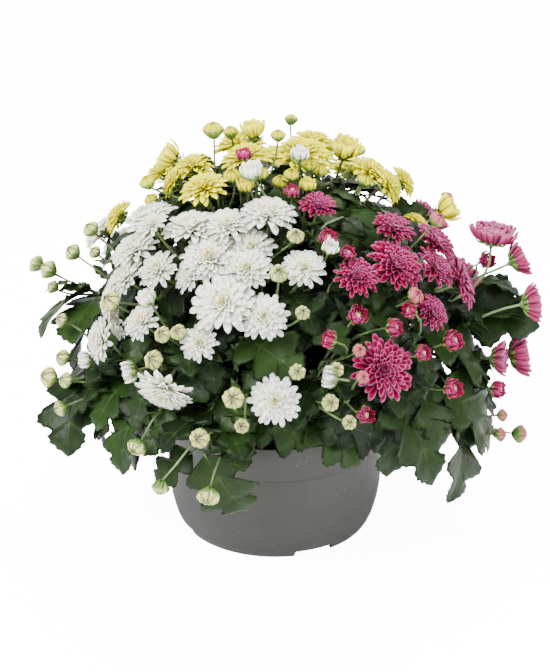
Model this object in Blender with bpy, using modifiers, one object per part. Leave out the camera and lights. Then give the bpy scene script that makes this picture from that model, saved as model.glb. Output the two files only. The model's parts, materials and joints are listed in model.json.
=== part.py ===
"""A pot chrysanthemum in flower: three young plants, white, magenta and yellow, in one plastic bowl pot.

Metres, with +Z up. The origin is on the pot's axis, on the surface that the pot stands on, and the front
is at -Y. A bearing is an angle round the pot, 0 at the front and growing to the right. A lean is an angle
down from straight up. Both are seen from the heart of the plants, which is just above the soil.
"""

import math
import random

import bmesh
import bpy
import numpy as np
from mathutils import Matrix, Vector
from mathutils.bvhtree import BVHTree

MM = 0.001
SEED = 11

# The pot, in millimetres: an outline from the rim's outer edge down to the foot
TURN_STEPS = 22
HOLE_SIDES = 8
POT_OUTSIDE = ((101.0, 112.0), (100.3, 82.0), (98.6, 81.0), (96.5, 38.0), (93.0, 17.0), (89.0, 5.0), (85.2, 0.0))
POT_INSIDE = ((80.0, 10.5), (92.0, 24.0), (96.3, 80.0), (98.6, 84.0), (99.0, 112.0))
FOOT_RING = 3.0
BASE_PLATE_UNDERSIDE = 7.5
NOTCH_SIZE = (35.0, 30.0, 6.5)
NOTCH_BEARINGS = (23.0, 113.0, 203.0, 293.0)
DRAIN_RADIUS = 5.0
DRAIN_CIRCLE = 52.0
DRAINS = 4

# The soil, in millimetres
SOIL_TOP = 97.0
SOIL_EDGE = 94.0
SOIL_GAP = 0.35
HOLE_RADIUS = 5.4
HOLE_DEPTH = 24.0

# The plants: a flattened dome of blooms round the heart
HEART = Vector((0.0, 0.0, 0.120))
SPREAD = 0.205
RISE = 0.232
SEAT_GAP = 0.3 * MM
CROWN_RADIUS = 4.6
CROWN_RISE = 10.0
CROWN_LIFT = 0.4
SHOOT_RADII = (2.5, 1.8)
SHOOT_REACH = 0.62
STALK_RADII = (1.9, 1.5)
STALK_SIDES = 3
SHOOT_SIDES = 4
CALYX_RADIUS = 4.2
CALYX_DEPTH = 5.0 * MM
FORK_STEP = 0.075
FORK_LOWEST = 0.36
STEM_CLEARANCE = 0.9 * MM
BLOOM_CLEARANCE = 2.5 * MM
RIM_CLEARANCE = 3.0 * MM
BENDS = (0.0, 8.0 * MM, 16.0 * MM, 26.0 * MM, 38.0 * MM)
BEND_WAYS = 8
FORK_CLEARANCE = 16.0 * MM
HARD_HIT = 50
SHOOT_RISE = 42.0 * MM
SHOOT_SWAY = 22.0 * MM
SHOOT_SHARES = (0.0, 0.3, 0.62, 1.0)
STALK_SHARES = (0.0, 0.5)

# Of each kind of head, as shares of its radius: how far its seat lies below its place on the dome, and its height
SEAT_DEPTHS = {"open": 0.55, "cup": 1.1, "bud": 0.7}
HEAD_HEIGHTS = {"open": 0.62, "cup": 1.45, "bud": 1.7}

# Each ring of an open bloom, and of a half-open one, as shares of its radius:
# how far out and how high its petals' tips are, and then the valleys between them
OPEN_RINGS = ((1.00, 0.28, 0.76, 0.20), (0.74, 0.47, 0.57, 0.36), (0.44, 0.60, 0.30, 0.50))
SMALL_OPEN_RINGS = ((1.00, 0.30, 0.74, 0.22), (0.66, 0.54, 0.48, 0.42))
OPEN_MIDDLE = 0.55
OPEN_SLOPE = 0.26
CUP_RINGS = ((0.92, 0.70, 0.86, 0.62), (1.00, 1.45, 0.78, 1.20), (0.50, 1.25, 0.42, 1.10))
SMALL_CUP_RINGS = ((1.00, 0.90, 0.90, 0.70), (0.72, 1.45, 0.60, 1.25))
CUP_MIDDLE = 0.95
PETAL_RAGGEDNESS = 0.05
SMALL_CUP = 22.5
SMALL_BLOOM = 45.0
FOOT_CORNERS = 4
BUD_SIDES = 6
BUD_RINGS = ((0.90, 0.35), (0.93, 1.05))
BUD_TOP = 1.55

# A leaf's outline, as shares of its length: how far along, and how far out to each side
LEAF_SIDE = ((0.20, 0.38), (0.40, 0.21), (0.62, 0.42))
LEAF_RIB = (0.40, 0.72)
LEAF_THICKNESS = 0.8 * MM
LEAF_ARCH = 0.42
LEAF_FOLD = 0.16
LEAF_STALK_HALF_WIDTH = 1.3 * MM
LEAF_STALK_TAIL = 0.35
LEAF_STALK_LONGEST = 55.0 * MM
LEAF_GUARD = 0.5 * MM
LEAF_SINKS = (0.0, 0.06, 0.12, 0.18, -0.06)

# Open blooms, half-open ones and closed buds of each plant, as bearing, lean, reach on the dome and
# width in millimetres, with the bearing and lean of their faces where these don't point outwards
WHITE_OPEN = (
    (-22, 42, 1.00, 50), (-14, 52, 1.03, 50), (-3, 54, 1.00, 40), (-9, 44, 1.00, 42), (9, 44, 1.00, 36),
    (0, 70, 1.00, 40), (-19, 60, 1.00, 32), (-26, 72, 1.00, 48, -20, 122), (-50, 65, 1.00, 38, -60, 72),
    (-37, 58, 1.00, 34, -45, 45), (-51, 61, 0.93, 30, -60, 95), (-52, 57, 1.00, 32, -80, 75),
    (-50, 51, 1.00, 40, -65, 48), (-53, 44, 1.00, 44, -60, 28), (-38, 47, 1.00, 36), (-43, 40, 1.07, 28, -50, 30),
    (-59, 36, 1.00, 46, -80, 20), (-34, 35, 1.00, 48, -40, 14), (-19, 34, 1.00, 40, -15, 25),
    (-3, 30, 1.00, 48, 0, 18), (-9, 38, 0.97, 40), (-28, 46, 0.98, 36, -60, 50),
    (-98, 50, 1.00, 42), (-122, 60, 1.00, 40), (-104, 74, 0.96, 36),
)
WHITE_CUPS = (
    (-37, 69, 1.00, 20, -85, 105), (-34, 54, 1.06, 18, -62, 35), (-12, 24, 1.08, 22, -50, 20),
    (16, 19, 1.08, 17, 10, 15), (17, 42, 1.05, 15), (11, 66, 1.00, 19, -90, 80), (-53, 70, 1.00, 16, -70, 80),
)
WHITE_BUDS = (
    (-104, 68, 1.17, 16), (-88, 62, 1.07, 17), (-79, 54, 1.03, 15), (-71, 47, 1.05, 14), (-61, 72, 1.00, 14),
    (-60, 76, 1.05, 17), (-55, 75, 1.02, 13), (-56, 81, 1.02, 13, -60, 100), (-43, 57, 1.06, 16),
    (-28, 60, 1.00, 13), (-29, 65, 1.00, 15), (-9, 70, 1.00, 16), (-16, 78, 1.00, 15),
    (-31, 82, 1.00, 15, -35, 120), (-25, 89, 1.00, 14, -25, 150), (-14, 89, 1.00, 17, -10, 125),
    (1, 48, 1.07, 14), (7, 38, 1.00, 13), (12, 71, 1.00, 13),
)
YELLOW_OPEN = (
    (-42, 25, 1.00, 40), (-74, 20, 1.00, 36, -80, 10), (-74, 27, 0.98, 30, -95, 60), (-80, 42, 1.00, 32, -100, 60),
    (-38, 11, 1.00, 42, -30, 12), (48, 9, 1.00, 50, 20, 12), (78, 24, 1.00, 38, 80, 30), (73, 30, 1.00, 34, 80, 60),
    (102, 35, 1.00, 30, 100, 60), (90, 41, 0.92, 24), (140, 15, 1.00, 44), (-150, 18, 1.00, 44),
    (180, 34, 1.00, 46), (145, 38, 1.00, 42), (-142, 40, 1.00, 42), (-112, 32, 1.00, 38), (165, 56, 1.00, 44),
    (-165, 59, 1.00, 44), (180, 78, 0.98, 40), (152, 78, 1.00, 38), (-150, 78, 0.98, 38),
)
YELLOW_CUPS = (
    (-91, 26, 1.05, 26, -90, 55), (-100, 5, 1.05, 24, -60, 8), (94, 17, 1.02, 28, 30, 25), (95, 46, 1.05, 27, 85, 55),
    (19, 23, 1.00, 15), (-17, 23, 1.00, 16),
)
YELLOW_BUDS = (
    (-60, 15, 1.08, 17, -70, 5), (-82, 10, 1.03, 13), (-64, 32, 1.04, 14), (25, 18, 1.00, 13),
    (4, 10, 1.05, 12), (-168, 70, 1.05, 14), (150, 66, 1.05, 14),
)
MAGENTA_OPEN = (
    (20, 29, 1.00, 30), (49, 38, 1.00, 36, 45, 25), (41, 46, 1.00, 48), (25, 47, 1.00, 36), (57, 50, 1.00, 38),
    (67, 45, 1.00, 40, 70, 35), (46, 58, 1.00, 32), (69, 56, 1.00, 50, 85, 65), (88, 54, 1.12, 42, 80, 5),
    (85, 61, 1.17, 32, 95, 65), (78, 68, 1.17, 34, 90, 80), (27, 66, 1.00, 50), (76, 77, 1.00, 32, 75, 85),
    (83, 79, 1.08, 42, 85, 80), (118, 52, 1.00, 40), (108, 68, 1.00, 42), (128, 76, 1.00, 38),
)
MAGENTA_CUPS = (
    (19, 38, 1.00, 17), (22, 55, 1.00, 18), (89, 59, 1.05, 18, 30, 60), (37, 65, 1.02, 15), (20, 74, 1.02, 16),
    (50, 65, 1.00, 20), (46, 74, 1.00, 19), (70, 82, 1.00, 19, 60, 85), (36, 56, 1.00, 15, -60, 60),
    (12, 59, 1.00, 16, -80, 70), (32, 59, 1.00, 17, 60, 75), (81, 72, 1.02, 14), (24, 42, 1.00, 14),
    (9, 25, 1.00, 14), (-25, 16, 1.04, 15),
)
MAGENTA_BUDS = (
    (40, 54, 1.00, 13), (57, 43, 1.08, 14), (67, 91, 1.00, 12), (76, 94, 1.06, 16, 85, 95), (106, 47, 1.05, 13),
)

# Leaves that show well, as bearing, lean and reach of the blade's base and of its tip, and its width as a
# share of its length, with the bearing and lean that the upper face looks to where it isn't outwards
WHITE_LEAVES = (
    (-18, 84, 0.86, -8, 101, 0.78, 0.95), (-72, 78, 0.85, -58, 93, 0.98, 0.95, -20, 75),
    (-90, 62, 0.88, -72, 72, 1.05, 0.60), (-92, 62, 0.82, -66, 70, 0.94, 0.90, -35, 50),
    (-50, 72, 0.78, -50, 85, 0.92, 1.00), (-42, 78, 0.82, -38, 91, 0.95, 0.90),
    (-33, 60, 0.82, -18, 72, 0.92, 0.95), (-42, 56, 0.76, -30, 44, 0.86, 0.95),
    (-10, 56, 0.82, 7, 66, 0.92, 1.00), (-24, 86, 0.78, -34, 95, 0.84, 0.80),
    (-18, 72, 0.78, -6, 84, 0.88, 0.90), (-27, 76, 0.78, -33, 86, 0.92, 0.85),
    (-95, 56, 0.85, -96, 48, 1.00, 0.70),
)
MAGENTA_LEAVES = (
    (36, 72, 0.78, 40, 94, 0.95, 0.90), (88, 60, 0.74, 82, 74, 1.16, 0.80, 20, 55),
    (55, 76, 0.82, 70, 96, 0.96, 0.90), (58, 60, 0.76, 78, 82, 0.92, 0.90),
    (13, 50, 0.80, 19, 62, 0.90, 0.95), (10, 76, 0.76, 22, 87, 0.86, 0.90),
    (38, 48, 0.82, 34, 62, 0.90, 0.90),
)
YELLOW_LEAVES = (
    (104, 34, 0.82, 98, 43, 1.02, 0.80, 35, 50), (108, 16, 0.80, 88, 32, 0.92, 0.60),
    (56, 18, 0.84, 50, 38, 0.84, 0.80, 25, 50), (6, 4, 0.86, 20, 12, 1.02, 0.60),
    (-112, 22, 0.88, -84, 28, 1.02, 0.50), (178, 40, 0.74, 190, 60, 0.82, 0.95),
    (152, 62, 0.74, 142, 82, 0.84, 0.95), (-152, 62, 0.74, -164, 82, 0.84, 0.95),
)

# Leaves that fill the rest, on a spiral over the dome, except over the front of the pot
FILL_LEAVES = 46
FILL_LEANS = (22.0, 102.0)
FILL_REACHES = (0.86, 0.80, 0.74, 0.68)
FILL_LENGTHS = (62.0 * MM, 80.0 * MM)
FILL_YAW = 55.0
FILL_WIDTH = 0.95
BARE_LEAN = 86.0
BARE_BEARING = 46.0
GOLDEN_ANGLE = 137.508

# Each plant: its root's bearing and distance from the axis, and the ends of its shoots
ROOT_DISTANCE = 42.0 * MM
PLANTS = {
    "white": {
        "root": -62.0,
        "shoots": ((-4, 38), (-2, 62), (-27, 36), (-30, 62), (-55, 46), (-66, 68), (-100, 58)),
        "open": WHITE_OPEN, "cups": WHITE_CUPS, "buds": WHITE_BUDS, "leaves": WHITE_LEAVES,
    },
    "magenta": {
        "root": 58.0,
        "shoots": ((17, 36), (20, 60), (44, 42), (44, 64), (72, 50), (78, 74), (112, 60)),
        "open": MAGENTA_OPEN, "cups": MAGENTA_CUPS, "buds": MAGENTA_BUDS, "leaves": MAGENTA_LEAVES,
    },
    "yellow": {
        "root": 178.0,
        "shoots": ((-60, 16), (60, 14), (-105, 34), (95, 32), (-155, 30), (150, 30), (-160, 60), (158, 60)),
        "open": YELLOW_OPEN, "cups": YELLOW_CUPS, "buds": YELLOW_BUDS, "leaves": YELLOW_LEAVES,
    },
}

FINISHES = {
    "pot_plastic": ((0.115, 0.112, 0.105), 0.62),
    "potting_soil": ((0.030, 0.018, 0.011), 0.95),
    "leaf_green": ((0.035, 0.095, 0.030), 0.55),
    "white_petal": ((0.86, 0.86, 0.78), 0.55),
    "magenta_petal": ((0.36, 0.015, 0.075), 0.55),
    "yellow_petal": ((0.88, 0.66, 0.02), 0.55),
}


def ray(bearing, lean):
    """The unit vector at this bearing round the pot and this lean from straight up, in degrees."""
    around, down = math.radians(bearing), math.radians(lean)
    return Vector((math.sin(down) * math.sin(around), -math.sin(down) * math.cos(around), math.cos(down)))


def dome(bearing, lean, reach):
    """The point on the dome of blooms, where a reach of 1 is its surface."""
    way = ray(bearing, lean)
    return HEART + Vector((way.x * SPREAD, way.y * SPREAD, way.z * RISE)) * reach


def bezier(ends, share):
    """The point on a cubic Bezier curve, from its four control points."""
    rest = 1.0 - share
    weights = (rest ** 3, 3 * rest * rest * share, 3 * rest * share * share, share ** 3)
    return sum((point * weight for point, weight in zip(ends, weights)), Vector())


def across_axes(axis):
    """Two unit vectors square to an axis and to each other."""
    side = axis.cross(Vector((0.0, 0.0, 1.0)))
    if side.length < 0.1:
        side = axis.cross(Vector((0.0, 1.0, 0.0)))
    side.normalize()
    return side, axis.cross(side)


class Head:
    """A bloom, a half-open bloom or a bud, with the seat where its stalk ends."""

    def __init__(self, plant, kind, number, row):
        bearing, lean, reach, width = row[:4]
        face = row[4:] or (bearing, lean * 0.9)
        self.plant = plant
        self.kind = kind
        self.number = number
        self.radius = width * MM / 2
        self.facing = ray(*face)
        self.fused = kind == "bud" or (kind == "cup" and width < SMALL_CUP)
        self.seat = dome(bearing, lean, reach) - self.facing * SEAT_DEPTHS[kind] * self.radius
        self.height = HEAD_HEIGHTS[kind] * self.radius

    def holds(self, points, margin):
        """How many of the points, an array, lie in the bloom or within a margin of it."""
        away = points - np.array(self.seat)
        up = away @ np.array(self.facing)
        out = np.sqrt(np.maximum((away * away).sum(axis=1) - up * up, 0.0))
        slope = OPEN_SLOPE if self.kind == "open" else 0.0
        inside = (out < self.radius + margin) & (up < self.height + margin) & (up > slope * out - margin - 0.8 * MM)
        return int(inside.sum())


def all_heads():
    heads = []
    for plant, rows in PLANTS.items():
        for kind, key in (("open", "open"), ("cup", "cups"), ("bud", "buds")):
            heads += [Head(plant, kind, number, row) for number, row in enumerate(rows[key])]
    return heads


class Stem:
    """A round stem along a Bezier curve, tapered, that may end in a calyx."""

    def __init__(self, plant, ends, radii, shares, head=None):
        self.plant = plant
        self.ends = ends
        self.radii = radii
        self.shares = shares
        self.head = head

    def at(self, share):
        return bezier(self.ends, share)

    def on_runs(self, share):
        """The point at a share of its length on the straight runs between its points."""
        for first, second in zip(self.shares, self.shares[1:]):
            if share <= second:
                return self.at(first).lerp(self.at(second), (share - first) / (second - first))
        return self.at(1.0)

    def samples(self, per_run=8):
        """Points along the straight runs that the stem is made of."""
        path = [np.array(point) for point, _ in self.points()]
        shares = np.linspace(0.0, 1.0, per_run, endpoint=False)[:, None]
        return np.concatenate([first + (second - first) * shares for first, second in zip(path, path[1:])])

    def points(self):
        """Its points and radii in millimetres, from its root to its end."""
        thick, thin = self.radii
        path = [(self.at(share), thick + (thin - thick) * share) for share in self.shares]
        if self.head is None:
            return path
        seat, facing = self.head.seat, self.head.facing
        if self.head.fused:
            return path + [(seat, thin)]
        return path + [(seat - facing * CALYX_DEPTH, thin), (seat - facing * SEAT_GAP, CALYX_RADIUS)]


def root_point(plant):
    way = ray(PLANTS[plant]["root"], 90.0)
    return way * ROOT_DISTANCE + Vector((0.0, 0.0, SOIL_TOP * MM))


def shoots_of(plant):
    """The plant's main stems, all from the top of its crown."""
    crown = root_point(plant) + Vector((0.0, 0.0, (CROWN_RISE - 4.0) * MM))
    stems = []
    for bearing, lean in PLANTS[plant]["shoots"]:
        end = dome(bearing, lean, SHOOT_REACH)
        level = Vector((end.x - crown.x, end.y - crown.y, 0.0)).normalized()
        start = crown + level * 1.5 * MM
        rising = start + Vector((0.0, 0.0, SHOOT_RISE)) + level * SHOOT_SWAY
        ends = (start, rising, end - ray(bearing, lean * 0.6) * SHOOT_RISE, end)
        stems.append(Stem(plant, ends, SHOOT_RADII, SHOOT_SHARES))
    return stems


def too_near(points, others, clearance):
    """How many of the points lie nearer than a clearance to any of the others."""
    if not len(others):
        return 0
    gaps = np.linalg.norm(points[:, None, :] - others[None, :, :], axis=2).min(axis=1)
    return int((gaps < clearance).sum())


def in_pot(points):
    out = np.hypot(points[:, 0], points[:, 1])
    near_wall = out < POT_OUTSIDE[0][0] * MM + RIM_CLEARANCE
    below_rim = points[:, 2] < POT_OUTSIDE[0][1] * MM + RIM_CLEARANCE
    return int((near_wall & below_rim & (out > 0.07)).sum())


def stalk_to(head, shoot, share, heads, strangers, kin):
    """A flower stalk from its fork on a shoot to a seat, and how badly it meets what it should bend clear of.

    Blooms, the rim and the other plants have to be cleared. Stems of its own plant may be crossed.
    """
    start = shoot.on_runs(share)
    along = (shoot.at(min(share + 0.02, 1.0)) - shoot.at(min(share, 0.98))).normalized()
    end = head.seat - head.facing * (0.0 if head.fused else CALYX_DEPTH)
    length = (end - start).length
    side, other = across_axes((end - start).normalized())
    best, fewest = None, None
    for bend in BENDS:
        for way in range(BEND_WAYS if bend else 1):
            angle = 2 * math.pi * way / BEND_WAYS
            shift = (side * math.cos(angle) + other * math.sin(angle)) * bend
            ends = (start, start + along * 0.2 * length + shift, end - head.facing * 0.35 * length + shift * 0.7, end)
            stem = Stem(head.plant, ends, STALK_RADII, STALK_SHARES, head)
            spots = stem.samples()
            hits = in_pot(spots) + too_near(spots, strangers, 2 * STALK_RADII[0] * MM + STEM_CLEARANCE)
            hits += sum(each.holds(spots, BLOOM_CLEARANCE) for each in heads if each is not head)
            free = spots[np.linalg.norm(spots - np.array(start), axis=1) > FORK_CLEARANCE]
            hits = hits * HARD_HIT + too_near(free, kin, 1.6 * STALK_RADII[0] * MM)
            if fewest is None or hits < fewest:
                best, fewest = stem, hits
            if hits == 0:
                return stem, 0
    return best, fewest


def all_stems(heads):
    """Every shoot and flower stalk. Each head hangs on one of the two shoots that end nearest to it."""
    shoots = {plant: shoots_of(plant) for plant in PLANTS}
    stems = [stem for plant in PLANTS for stem in shoots[plant]]
    forks = {}
    for head in heads:
        own = shoots[head.plant]
        near = sorted(range(len(own)), key=lambda index: (own[index].at(1.0) - head.seat).length)[:2]
        strangers = np.concatenate([stem.samples() for stem in stems if stem.plant != head.plant])
        kin = np.concatenate([stem.samples() for stem in stems if stem.plant == head.plant])
        best, fewest = None, None
        for index in near:
            share = 1.0 - FORK_STEP * forks.get((head.plant, index), 0)
            if share < FORK_LOWEST:
                share += 0.5 * FORK_STEP + (1.0 - FORK_LOWEST) // FORK_STEP * FORK_STEP
            stem, hits = stalk_to(head, own[index], share, heads, strangers, kin)
            if fewest is None or hits < fewest:
                best, fewest, chosen = stem, hits, index
            if hits < HARD_HIT:
                break
        forks[head.plant, chosen] = forks.get((head.plant, chosen), 0) + 1
        stems.append(best)
    return stems


def new_object(name, mesh, collection):
    obj = bpy.data.objects.new(name, mesh)
    collection.objects.link(obj)
    return obj


def mesh_from(name, build):
    """A mesh that a function builds in a bmesh, with its faces turned outwards."""
    shape = bmesh.new()
    build(shape)
    bmesh.ops.recalc_face_normals(shape, faces=shape.faces)
    mesh = bpy.data.meshes.new(name)
    shape.to_mesh(mesh)
    shape.free()
    return mesh


def section_of(sides):
    """The closed curve, a millimetre in radius, that a stem with this many sides is swept from."""
    curve = bpy.data.curves.new("section", "CURVE")
    spline = curve.splines.new("POLY")
    spline.points.add(sides - 1)
    for index, spot in enumerate(spline.points):
        angle = 2 * math.pi * index / sides
        spot.co = (math.cos(angle) * MM, math.sin(angle) * MM, 0.0, 1.0)
    spline.use_cyclic_u = True
    return new_object("section", curve, bpy.context.scene.collection)


def tube_mesh(name, path, sides):
    """A stem from points and radii in millimetres, with welded caps."""
    section = section_of(sides)
    curve = bpy.data.curves.new(name, "CURVE")
    curve.dimensions = "3D"
    curve.bevel_mode = "OBJECT"
    curve.bevel_object = section
    curve.use_fill_caps = True
    spline = curve.splines.new("POLY")
    spline.points.add(len(path) - 1)
    for spot, (point, radius) in zip(spline.points, path):
        spot.co = (*point, 1.0)
        spot.radius = radius
    guide = new_object(name, curve, bpy.context.scene.collection)
    bpy.context.view_layer.update()
    mesh = bpy.data.meshes.new_from_object(guide.evaluated_get(bpy.context.evaluated_depsgraph_get()))
    bpy.data.objects.remove(guide, do_unlink=True)
    bpy.data.objects.remove(section, do_unlink=True)
    shape = bmesh.new()
    shape.from_mesh(mesh)
    bmesh.ops.remove_doubles(shape, verts=shape.verts, dist=1e-5)
    bmesh.ops.recalc_face_normals(shape, faces=shape.faces)
    shape.to_mesh(mesh)
    shape.free()
    return mesh


def petals_and_rings(head):
    """How many petals are in each layer, and the layers."""
    if head.kind == "cup":
        return (4, SMALL_CUP_RINGS) if head.fused else (6, CUP_RINGS)
    return (7, SMALL_OPEN_RINGS) if head.radius * 2 < SMALL_BLOOM * MM else (8, OPEN_RINGS)


def join_rings(shape, lower, upper):
    """Triangles between two rings of vertices that run the same way round from the same bearing."""
    low, high = 0, 0
    while low < len(lower) or high < len(upper):
        first, second = lower[low % len(lower)], upper[high % len(upper)]
        next_low, next_high = lower[(low + 1) % len(lower)], upper[(high + 1) % len(upper)]
        step_low = (low + 1) / len(lower)
        step_high = (high + 1) / len(upper)
        if len(lower) == len(upper) and low == high:
            up_first = (first.co - next_high.co).length < (next_low.co - second.co).length
        else:
            up_first = step_high <= step_low
        if high < len(upper) and (up_first or low == len(lower)):
            shape.faces.new((first, next_high, second))
            high += 1
        else:
            shape.faces.new((first, next_low, second))
            low += 1


def close_top(shape, ring, top):
    for first, second in zip(ring, ring[1:] + ring[:1]):
        shape.faces.new((first, second, top))


def head_rings(head, draw):
    """The rings of a bloom or bud from its lowest to its highest, as places, and the middle of its top."""
    side, other = across_axes(head.facing)

    def place(out, up, angle):
        flat = side * math.cos(angle) + other * math.sin(angle)
        return head.seat + flat * out * head.radius + head.facing * up * head.radius

    if head.kind == "bud":
        spots = [2 * math.pi * step / BUD_SIDES for step in range(BUD_SIDES)]
        return [[place(out, up, angle) for angle in spots] for out, up in BUD_RINGS], place(0.0, BUD_TOP, 0.0)
    petals, layers = petals_and_rings(head)
    rings = []
    for index, (tip_out, tip_up, valley_out, valley_up) in enumerate(layers):
        ring = []
        for step in range(2 * petals):
            is_tip = step % 2 == index % 2
            out, up = (tip_out, tip_up) if is_tip else (valley_out, valley_up)
            ragged = 1.0 + (draw.uniform(-1, 1) * PETAL_RAGGEDNESS if is_tip else 0.0)
            ring.append(place(out * ragged, up * ragged, math.pi * step / petals))
        rings.append(ring)
    return rings, place(0.0, OPEN_MIDDLE if head.kind == "open" else CUP_MIDDLE, 0.0)


def add_head(shape, head, draw, foot):
    """Lofts a bloom or bud from the ring of vertices at its foot."""
    rings, top = head_rings(head, draw)
    below = foot
    for ring in rings:
        above = [shape.verts.new(place) for place in ring]
        join_rings(shape, below, above)
        below = above
    close_top(shape, below, shape.verts.new(top))


def bloom_mesh(head, draw):
    """A bloom as a closed loft of star-shaped rings, one for each layer of petals."""

    def build(shape):
        side, other = across_axes(head.facing)
        foot = []
        for corner in range(FOOT_CORNERS):
            angle = 2 * math.pi * corner / FOOT_CORNERS
            flat = side * math.cos(angle) + other * math.sin(angle)
            foot.append(shape.verts.new(head.seat + flat * 0.9 * CALYX_RADIUS * MM))
        shape.faces.new(foot)
        add_head(shape, head, draw, foot)

    return mesh_from("bloom", build)


def stem_mesh(stem):
    return tube_mesh("stem", stem.points(), STALK_SIDES if stem.head else SHOOT_SIDES)


def budded_mesh(stem, draw):
    """A stalk and the closed or half-open bud on its end as one body."""
    head = stem.head

    def build(shape):
        shape.from_mesh(stem_mesh(stem))
        shape.faces.ensure_lookup_table()
        caps = [face for face in shape.faces if all((vert.co - head.seat).length < 3.0 * MM for vert in face.verts)]
        cap = min(caps, key=lambda face: (face.calc_center_median() - head.seat).length)
        side, other = across_axes(head.facing)

        def bearing(vert):
            away = vert.co - head.seat
            return math.atan2(away.dot(other), away.dot(side)) % (2 * math.pi)

        foot = sorted(cap.verts, key=bearing)
        shape.faces.remove(cap)
        add_head(shape, head, draw, foot)

    return mesh_from("budded stalk", build)


class Leaf:
    """A lobed leaf: a thin arched blade on a flat stalk that is sunk in a stem."""

    def __init__(self, base, tip, outward, width):
        self.base = base
        self.tip = tip
        self.length = (tip - base).length
        self.along = (tip - base).normalized()
        self.up = (outward - self.along * outward.dot(self.along)).normalized()
        self.side = self.along.cross(self.up)
        self.width = width

    def at(self, along, out):
        rise = LEAF_ARCH * along * (1.0 - along) + LEAF_FOLD * abs(out)
        return self.base + (self.along * along + self.side * out * self.width + self.up * rise) * self.length

    def outline(self):
        """The apex and the lobes of both sides, which tell one leaf from another."""
        return [self.at(1.0, 0.0)] + [self.at(along, side * out) for along, out in LEAF_SIDE for side in (-1, 1)]

    def build(self, shape, anchor=None):
        """The mid surface as triangles, with the flat stalk where the anchor is given."""
        half = LEAF_STALK_HALF_WIDTH
        ribs = [shape.verts.new(self.at(along, 0.0)) for along in LEAF_RIB]
        apex = shape.verts.new(self.at(1.0, 0.0))
        feet = [shape.verts.new(self.base + self.side * side * half) for side in (-1, 1)]
        for side, foot in zip((-1, 1), feet):
            lobes = [shape.verts.new(self.at(along, side * out)) for along, out in LEAF_SIDE]
            fans = ((ribs[0], (foot, lobes[0], lobes[1], ribs[1])), (ribs[1], (lobes[1], lobes[2], apex)))
            for middle, edge in fans:
                for first, second in zip(edge, edge[1:]):
                    shape.faces.new((middle, first, second) if side < 0 else (middle, second, first))
        shape.faces.new((ribs[0], feet[1], feet[0]))
        if anchor is not None:
            tails = [shape.verts.new(anchor + self.side * side * half * LEAF_STALK_TAIL) for side in (-1, 1)]
            shape.faces.new((feet[0], feet[1], tails[1]))
            shape.faces.new((feet[0], tails[1], tails[0]))


def leaf_mesh(leaf, anchor=None):
    return mesh_from("leaf", lambda shape: leaf.build(shape, anchor))


def tree_of(mesh):
    shape = bmesh.new()
    shape.from_mesh(mesh)
    tree = BVHTree.FromBMesh(shape)
    shape.free()
    return tree


def guard_tree(leaf, anchor=None):
    """A thicker copy of a leaf, for testing what it would touch."""
    shape = bmesh.new()
    leaf.build(shape, anchor)
    bmesh.ops.recalc_face_normals(shape, faces=shape.faces)
    bmesh.ops.solidify(shape, geom=shape.faces[:], thickness=LEAF_THICKNESS / 2 + LEAF_GUARD)
    other = bmesh.new()
    leaf.build(other, anchor)
    bmesh.ops.reverse_faces(other, faces=other.faces[:])
    bmesh.ops.solidify(other, geom=other.faces[:], thickness=LEAF_THICKNESS / 2 + LEAF_GUARD)
    trees = (BVHTree.FromBMesh(shape), BVHTree.FromBMesh(other))
    shape.free()
    other.free()
    return trees


def touches(trees, others):
    return any(tree.overlap(other) for tree in trees for other in others)


def nearest_anchor(base, anchors):
    gaps = np.linalg.norm(anchors - np.array(base), axis=1)
    index = int(gaps.argmin())
    return Vector(anchors[index]), float(gaps[index])


def fill_candidates(draw):
    """For each place on the spiral, the leaves to try there, from the highest to the lowest."""
    high, low = (math.cos(math.radians(lean)) for lean in FILL_LEANS)
    for index in range(FILL_LEAVES):
        lean = math.degrees(math.acos(high + (low - high) * (index + 0.5) / FILL_LEAVES))
        bearing = (index * GOLDEN_ANGLE) % 360.0 - 180.0
        length = draw.uniform(*FILL_LENGTHS)
        yaw = math.radians(draw.uniform(-FILL_YAW, FILL_YAW))
        tilt = draw.uniform(0.0, 0.5)
        if lean > BARE_LEAN and abs(bearing) < BARE_BEARING:
            continue
        outward = ray(bearing, lean)
        downhill = ray(bearing, lean + 90.0)
        sideways = outward.cross(downhill)
        tries = []
        for turn in (0.0, 0.5, -0.5, 1.0, -1.0):
            for reach in FILL_REACHES:
                way = downhill * math.cos(yaw + turn) + sideways * math.sin(yaw + turn)
                middle = dome(bearing, lean, reach)
                lift = outward * tilt * 0.25 * length
                base = middle - way * length / 2 - lift
                tip = middle + way * length / 2 + lift
                tries.append(Leaf(base, tip, outward + Vector((0.0, 0.0, 0.3)), FILL_WIDTH))
        yield tries


def seen_leaves(plant):
    """For each leaf that shows well, the leaf in its own place and then a little further in."""
    for row in PLANTS[plant]["leaves"]:
        base_bearing, base_lean, base_reach, tip_bearing, tip_lean, tip_reach, width = row[:7]
        tries = []
        for sink in LEAF_SINKS:
            base = dome(base_bearing, base_lean, base_reach - sink)
            tip = dome(tip_bearing, tip_lean, tip_reach - sink)
            middle = (base + tip) / 2 - HEART
            outward = ray(*row[7:]) if row[7:] else middle.normalized() + Vector((0.0, 0.0, 0.3))
            tries.append(Leaf(base, tip, outward, width))
        yield tries


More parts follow.
